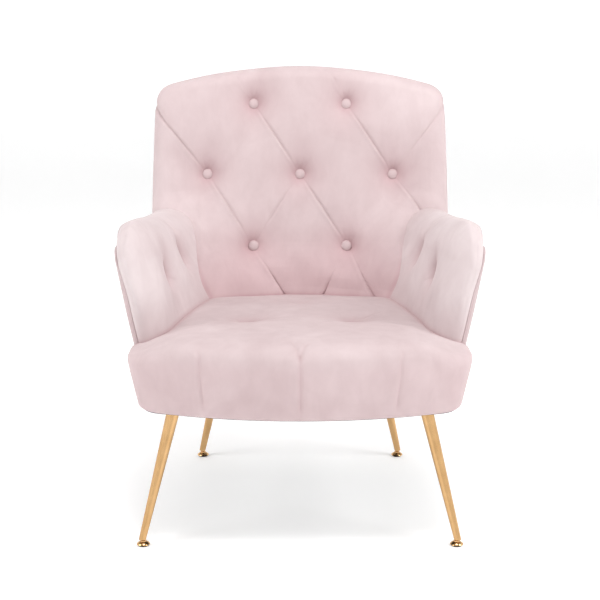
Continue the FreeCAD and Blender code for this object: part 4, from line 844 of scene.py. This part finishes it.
def make_buttons(velvet):
    """All eleven buttons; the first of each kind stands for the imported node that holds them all."""
    for number, (x, z) in enumerate(BACK_BUTTONS, start=1):
        face = np.array([x, back_face(z) - float(back_wrap(x, z)), z])
        nodes = ["back_buttons"] if number == 1 else []
        make_button(f"back_button_{number}", face + FACE_INTO * BUTTON_DEPTH, FACE_INTO, velvet, *nodes)
    for side, sign in (("left", -1), ("right", 1)):
        for number, (y, z) in enumerate(ARM_BUTTONS, start=1):
            into = unit(np.array([sign * 1.0, 0.215, -0.40]))
            place = np.array([sign * arm_inside(y, z), y, z]) + into * ARM_BUTTON_DEPTH
            nodes = ["arm_buttons"] if side == "left" and number == 1 else []
            make_button(f"{side}_arm_button_{number}", place, into, velvet, *nodes)


# ---- underside -------------------------------------------------------------------------------------------

def make_dust_cloth(cloth):
    """The dust cloth: thin cloth stapled under the rails, sagging a little between them."""
    core_half, rear, edge = 0.205, 0.190, 0.060
    deep = rear - SEAT_FRONT - CORNER_RADIUS

    def core(p, q):
        """From side to side, and from the rear rail to the bow."""
        bow = BOW_RADIUS - np.sqrt(BOW_RADIUS**2 - p**2)
        y = rear + (SEAT_FRONT + CORNER_RADIUS + bow - rear) * q / deep
        forward = unit(points(p / BOW_RADIUS * (q > deep / 2), -1.0, 0.0))
        return points(p, y, SEAT_BASE - 0.0005), RIGHT, forward

    def section(face, way, reach, angle):
        """Its edges reach the rails' outsides, and it hangs lowest in its middle."""
        rear_reach = rear_face(UNDERSIDE) - 0.009 - rear
        front_reach = CORNER_RADIUS - SEAT_END - SEAT_TAPER - 0.002
        wide = np.where(face[..., 1] < ARM_FOOT_NOSE, SEAT_HALF - SEAT_END - SEAT_TAPER - 0.002,
                        outside(face[..., 1], UNDERSIDE) - 0.007) - core_half
        lift = np.sin(angle) ** 2
        along = np.where(way[..., 1] > 0, rear_reach, front_reach)
        grid = face + way * (reach / edge * (wide * (1 - lift) + along * lift))[..., None]
        ripple = np.cos(np.clip(grid[..., 0] / 0.27, -1, 1) * QUARTER) * np.cos(grid[..., 1] / 0.38 * QUARTER)
        grid[..., 2] -= 0.004 * np.clip(ripple, 0, 1)
        return grid

    p = lines(-core_half - edge, core_half + edge, 0.006)
    q = lines(-edge, deep + edge, 0.006)
    grid = rolled_cover(p, q, (-core_half, core_half, 0, deep), core, section)
    piece = grid_mesh("dust_cloth", grid, closed=False)
    thicken(piece, 0.0006, 1)
    dressed(piece, cloth, "dust_cloth", "dust_cover")


# ---- materials -------------------------------------------------------------------------------------------

class Finish:
    """A material being made: its nodes, and short ways to add and link them."""

    def __init__(self, name, **sockets):
        self.material = bpy.data.materials.new(name)
        self.material.use_nodes = True
        self.tree = self.material.node_tree
        self.shader = self.tree.nodes["Principled BSDF"]
        self.place = self.add("ShaderNodeTexCoord").outputs["Object"]
        for socket, value in sockets.items():
            self.shader.inputs[socket.replace("_", " ")].default_value = value

    def add(self, kind, inputs=None, **settings):
        """A node; an input is given a link where it comes from another node, and a value otherwise."""
        node = self.tree.nodes.new(kind)
        for key, value in settings.items():
            setattr(node, key, value)
        for key, value in (inputs or {}).items():
            if isinstance(value, bpy.types.NodeSocket):
                self.tree.links.new(value, node.inputs[key])
            else:
                node.inputs[key].default_value = value
        return node

    def noise(self, scale, detail=3.0, roughness=0.5, distortion=0.0, stretch=None):
        """Cloudy noise at a scale per metre; a low stretch on an axis draws it out along it."""
        place = self.place
        if stretch:
            place = self.add("ShaderNodeMapping", {"Vector": place, "Scale": stretch}).outputs[0]
        inputs = {"Vector": place, "Scale": scale, "Detail": detail, "Roughness": roughness,
                  "Distortion": distortion}
        return self.add("ShaderNodeTexNoise", inputs).outputs["Fac"]

    def ramp(self, value, *stops):
        """Colours at positions from 0 to 1, blended between."""
        node = self.add("ShaderNodeValToRGB", {"Fac": value})
        for index, (position, colour) in enumerate(stops):
            element = node.color_ramp.elements[index] if index < 2 else node.color_ramp.elements.new(position)
            element.position = position
            element.color = (*colour, 1)
        return node.outputs["Color"]

    def mix(self, factor, first, second, kind="MIX"):
        """Two colours blended by a factor, or multiplied."""
        return self.add("ShaderNodeMix", {0: factor, 6: first, 7: second}, data_type="RGBA",
                        blend_type=kind).outputs[2]

    def span(self, value, low, high):
        """A value from 0 to 1 carried to the span from low to high."""
        node = self.add("ShaderNodeMapRange", {"Value": value, "To Min": low, "To Max": high})
        return node.outputs["Result"]

    def bump(self, height, strength, distance, before=None):
        """Small relief, on top of another one if that is given."""
        inputs = {"Height": height, "Strength": strength, "Distance": distance}
        if before is not None:
            inputs["Normal"] = before
        return self.add("ShaderNodeBump", inputs).outputs["Normal"]

    def finished(self, colour, roughness=None, relief=None):
        """Gives the shader its colour, roughness and relief, and returns the material."""
        for socket, value in (("Base Color", colour), ("Roughness", roughness), ("Normal", relief)):
            if value is not None:
                self.tree.links.new(value, self.shader.inputs[socket])
        return self.material


def velvet_finish():
    """Short pile: brushed patches a little lighter and darker, painted shade in folds, crevices and seams,
    painted light and shade by place, and a sheen where it turns away.
    """
    f = Finish("pink_velvet", Roughness=0.9, Sheen_Weight=0.25, Sheen_Roughness=0.30,
               Sheen_Tint=(1.0, 0.94, 0.94, 1), Specular_IOR_Level=0.12)
    brushed = f.noise(8.0, detail=4, roughness=0.55, distortion=0.6)
    streaks = f.noise(34.0, detail=3, roughness=0.6, distortion=0.4, stretch=(1, 1, 0.45))
    base = f.ramp(brushed, (0.30, (0.585, 0.491, 0.494)), (0.70, (0.655, 0.567, 0.569)))
    marked = f.ramp(streaks, (0.35, (0.950, 0.938, 0.940)), (0.65, (1.0, 1.0, 1.0)))
    # Painted light and shade: hollow darkens folds, crevices and seams towards a deep rose; nap makes some
    # places deeper and pinker, low on the back and seat, and others paler, high on the arms.
    painted_shade = f.add("ShaderNodeAttribute", attribute_name="painted_shade").outputs["Fac"]
    painted_light = f.add("ShaderNodeAttribute", attribute_name="painted_light").outputs["Fac"]
    painted_light_share = f.add("ShaderNodeMapRange", {"Value": painted_light, "From Min": -1.0}).outputs["Result"]
    painted_light_tint = f.ramp(painted_light_share, (0.0, (0.890, 0.765, 0.782)), (0.5, (0.868, 0.832, 0.836)), (1.0, (0.980, 1.0, 1.0)))
    tone = f.mix(1.0, f.mix(1.0, base, marked, "MULTIPLY"), painted_light_tint, "MULTIPLY")
    # The painted shade colour, a deep rose.
    tone_with_painted_shade = f.mix(f.span(painted_shade, 0.0, 0.5), tone, (0.400, 0.225, 0.240, 1))
    pile = f.noise(1500.0, detail=2)
    lay = f.noise(70.0, detail=3, roughness=0.6)
    return f.finished(tone_with_painted_shade, relief=f.bump(pile, 0.25, 0.0006, f.bump(lay, 0.15, 0.0010)))


def gold_finish():
    """Polished plating: warm metal, with faint cloudiness and fine turning marks along the tube."""
    f = Finish("gold_plating", Metallic=1.0)
    cloud = f.noise(30.0, detail=3)
    tone = f.ramp(cloud, (0.3, (0.540, 0.325, 0.145)), (0.7, (0.630, 0.395, 0.190)))
    marks = f.noise(220.0, detail=2, stretch=(1, 1, 0.08))
    return f.finished(tone, f.span(marks, 0.16, 0.28), f.bump(marks, 0.04, 0.0004))


def rubber_finish():
    """Moulded rubber: nearly black, dull, with a fine grain."""
    f = Finish("black_rubber", Specular_IOR_Level=0.4)
    grain = f.noise(600.0, detail=3)
    tone = f.ramp(grain, (0.3, (0.012, 0.012, 0.013)), (0.7, (0.030, 0.030, 0.032)))
    return f.finished(tone, f.span(grain, 0.55, 0.75), f.bump(grain, 0.2, 0.0003))


def timber_finish():
    """Sawn softwood: long grain bands, pores and saw marks."""
    f = Finish("sawn_timber", Specular_IOR_Level=0.3)
    bands = f.noise(12.0, detail=4, distortion=1.2, stretch=(1, 1, 6))
    pores = f.noise(260.0, detail=2, stretch=(1, 0.1, 1))
    base = f.ramp(bands, (0.3, (0.55, 0.37, 0.20)), (0.6, (0.72, 0.53, 0.33)), (0.8, (0.60, 0.42, 0.24)))
    tone = f.mix(0.25, base, f.ramp(pores, (0.35, (0.35, 0.22, 0.12)), (0.6, (0.8, 0.62, 0.42))))
    return f.finished(tone, f.span(pores, 0.6, 0.8), f.bump(pores, 0.3, 0.0006))


def steel_finish():
    """Drawn wire and screws: bare grey metal with marks along its length."""
    f = Finish("drawn_steel", Metallic=1.0)
    marks = f.noise(400.0, detail=3, stretch=(1, 0.2, 1))
    tone = f.ramp(marks, (0.3, (0.42, 0.42, 0.44)), (0.7, (0.62, 0.62, 0.63)))
    return f.finished(tone, f.span(marks, 0.25, 0.45), f.bump(marks, 0.1, 0.0003))


def woven_finish(name, dark, light, scale, rough=0.85):
    """A plain weave: bands along the three axes, two of them crossed, with uneven yarn colour."""
    f = Finish(name, Specular_IOR_Level=0.2)
    band = {"Vector": f.place, "Scale": scale, "Distortion": 0.4}
    yarns = [f.add("ShaderNodeTexWave", band, bands_direction=axis).outputs["Fac"] for axis in "XYZ"]
    crossed = f.add("ShaderNodeMath", {0: yarns[0], 1: yarns[1]}, operation="MULTIPLY")
    weave = f.add("ShaderNodeMath", {0: crossed.outputs[0], 1: yarns[2]}, operation="ADD")
    yarn = f.noise(60.0, detail=3)
    tone = f.mix(f.span(yarn, 0.2, 0.8), f.ramp(weave.outputs[0], (0.1, dark), (0.9, light)), (*light, 1))
    return f.finished(tone, f.span(yarn, rough - 0.08, rough + 0.08), f.bump(weave.outputs[0], 0.4, 0.0004))


def foam_finish():
    """Cut foam: yellowish, with open cells."""
    f = Finish("cut_foam", Specular_IOR_Level=0.2)
    cells = f.add("ShaderNodeTexVoronoi", {"Vector": f.place, "Scale": 900.0}).outputs["Distance"]
    tone = f.ramp(f.noise(14.0), (0.3, (0.80, 0.74, 0.55)), (0.7, (0.90, 0.85, 0.68)))
    return f.finished(tone, f.span(cells, 0.85, 0.98), f.bump(cells, 0.5, 0.0005))


# ---- stage -----------------------------------------------------------------------------------------------

def make_stage():
    """A pale floor that glows, dimly on the floor and fully up the wall: a round plain that curves up all
    round, by a quarter turn, into a pale wall.
    """
    plain, curve, wall = 6, 4, 3
    v, u = np.meshgrid(np.linspace(0, 1, 61), np.linspace(0, 2 * math.pi, 97)[:-1])
    run = 0.0001 + v * (plain + curve + wall)
    bend = np.clip((run - plain) / curve, 0, 1) * QUARTER
    away = np.minimum(run, plain) + curve / QUARTER * np.sin(bend)
    z = curve / QUARTER * (1 - np.cos(bend)) + np.maximum(run - plain - curve, 0)
    grid = points(away * np.cos(u), away * np.sin(u), z)
    floor = grid_mesh("floor", grid, flip=True, closed=False, wrap=True)
    f = Finish("pale_floor", Roughness=0.8)
    tone = f.ramp(f.noise(3.0), (0.3, (0.930, 0.930, 0.930)), (0.7, (0.950, 0.950, 0.950)))
    # Painted glow: the floor and wall glow though they are no lamp, dimmer on the floor and brighter up the
    # wall.
    height = f.add("ShaderNodeSeparateXYZ", {"Vector": f.place}).outputs["Z"]
    rising = f.add("ShaderNodeMapRange", {"Value": height, "From Max": 1.5}).outputs["Result"]
    painted_glow = f.ramp(rising, (0.0, (0.45, 0.45, 0.45)), (1.0, (1, 1, 1)))
    f.tree.links.new(painted_glow, f.shader.inputs["Emission Color"])
    f.shader.inputs["Emission Strength"].default_value = 0.55
    floor.data.materials.append(f.finished(tone))


def area_light(name, place, target, size, power):
    """A square white lamp at a place, turned to face a target."""
    light = bpy.data.lights.new(name, "AREA")
    light.shape = "SQUARE"
    light.size = size
    light.energy = power
    lamp = bpy.data.objects.new(name, light)
    lamp.location = place
    way = np.asarray(target, float) - np.asarray(place, float)
    lamp.rotation_euler = (math.acos(-way[2] / np.linalg.norm(way)), 0, math.atan2(way[1], way[0]) - QUARTER)
    bpy.context.scene.collection.objects.link(lamp)


def make_lights():
    """Soft studio light: high in front, from both sides and from above, with a dim white world."""
    middle = (0, 0, 0.45)
    area_light("key_light", (0.25, -1.30, 3.5), middle, 1.1, 51)
    area_light("right_light", (2.4, -0.9, 2.2), middle, 1.3, 41)
    area_light("left_light", (-2.4, -0.9, 2.2), middle, 1.3, 30)
    area_light("top_light", (0, 0.6, 3.2), (0, 0, 0), 2.4, 16)
    world = bpy.data.worlds.new("studio")
    world.use_nodes = True
    background = world.node_tree.nodes["Background"]
    background.inputs["Color"].default_value = (1, 1, 1, 1)
    background.inputs["Strength"].default_value = 0.25
    bpy.context.scene.world = world


def make_camera():
    """The camera stands a little above the chair's top and looks down at its middle."""
    data = bpy.data.cameras.new("camera")
    data.sensor_width = 36.0
    data.lens = 85.686
    camera = bpy.data.objects.new("camera", data)
    tilt = 0.22
    camera.location = (0, -2.7297, 1.0103)
    camera.rotation_euler = (QUARTER - tilt, 0, 0)
    bpy.context.scene.collection.objects.link(camera)
    bpy.context.scene.camera = camera


# ---- build -----------------------------------------------------------------------------------------------

def finish_nodes(finishes):
    """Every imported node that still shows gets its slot's finish."""
    slots = {part["node"]: part["material_slot"] for part in frame["record"]["subparts"]}
    for name, node in frame["nodes"].items():
        node.data.materials.clear()
        node.data.materials.append(finishes[slots[name]])
        for polygon in node.data.polygons:
            polygon.material_index = 0


velvet = velvet_finish()
dust = woven_finish("black_dust_cloth", (0.010, 0.010, 0.011), (0.035, 0.035, 0.037), 900)
finishes = {
    "velvet": velvet, "gold_metal": gold_finish(), "pad_rubber": rubber_finish(), "timber": timber_finish(),
    "bright_steel": steel_finish(), "foam": foam_finish(), "dust_cloth": dust,
    "webbing": woven_finish("jute_webbing", (0.25, 0.18, 0.10), (0.52, 0.42, 0.28), 420),
    "deck_cloth": woven_finish("deck_cloth", (0.55, 0.53, 0.48), (0.80, 0.78, 0.72), 700),
    "twine": woven_finish("waxed_twine", (0.60, 0.56, 0.46), (0.84, 0.80, 0.70), 1500, rough=0.6),
}
finish_nodes(finishes)
make_stage()
make_lights()
make_camera()
make_back(velvet)
make_seat(velvet)
for side, sign in (("left", -1), ("right", 1)):
    make_arm(side, sign, velvet)
    make_outside_panel(side, sign, velvet)
    make_piping(side, sign, velvet)
make_outside_back(velvet)
make_buttons(velvet)
make_dust_cloth(dust)
bpy.context.scene.view_settings.view_transform = "Standard"
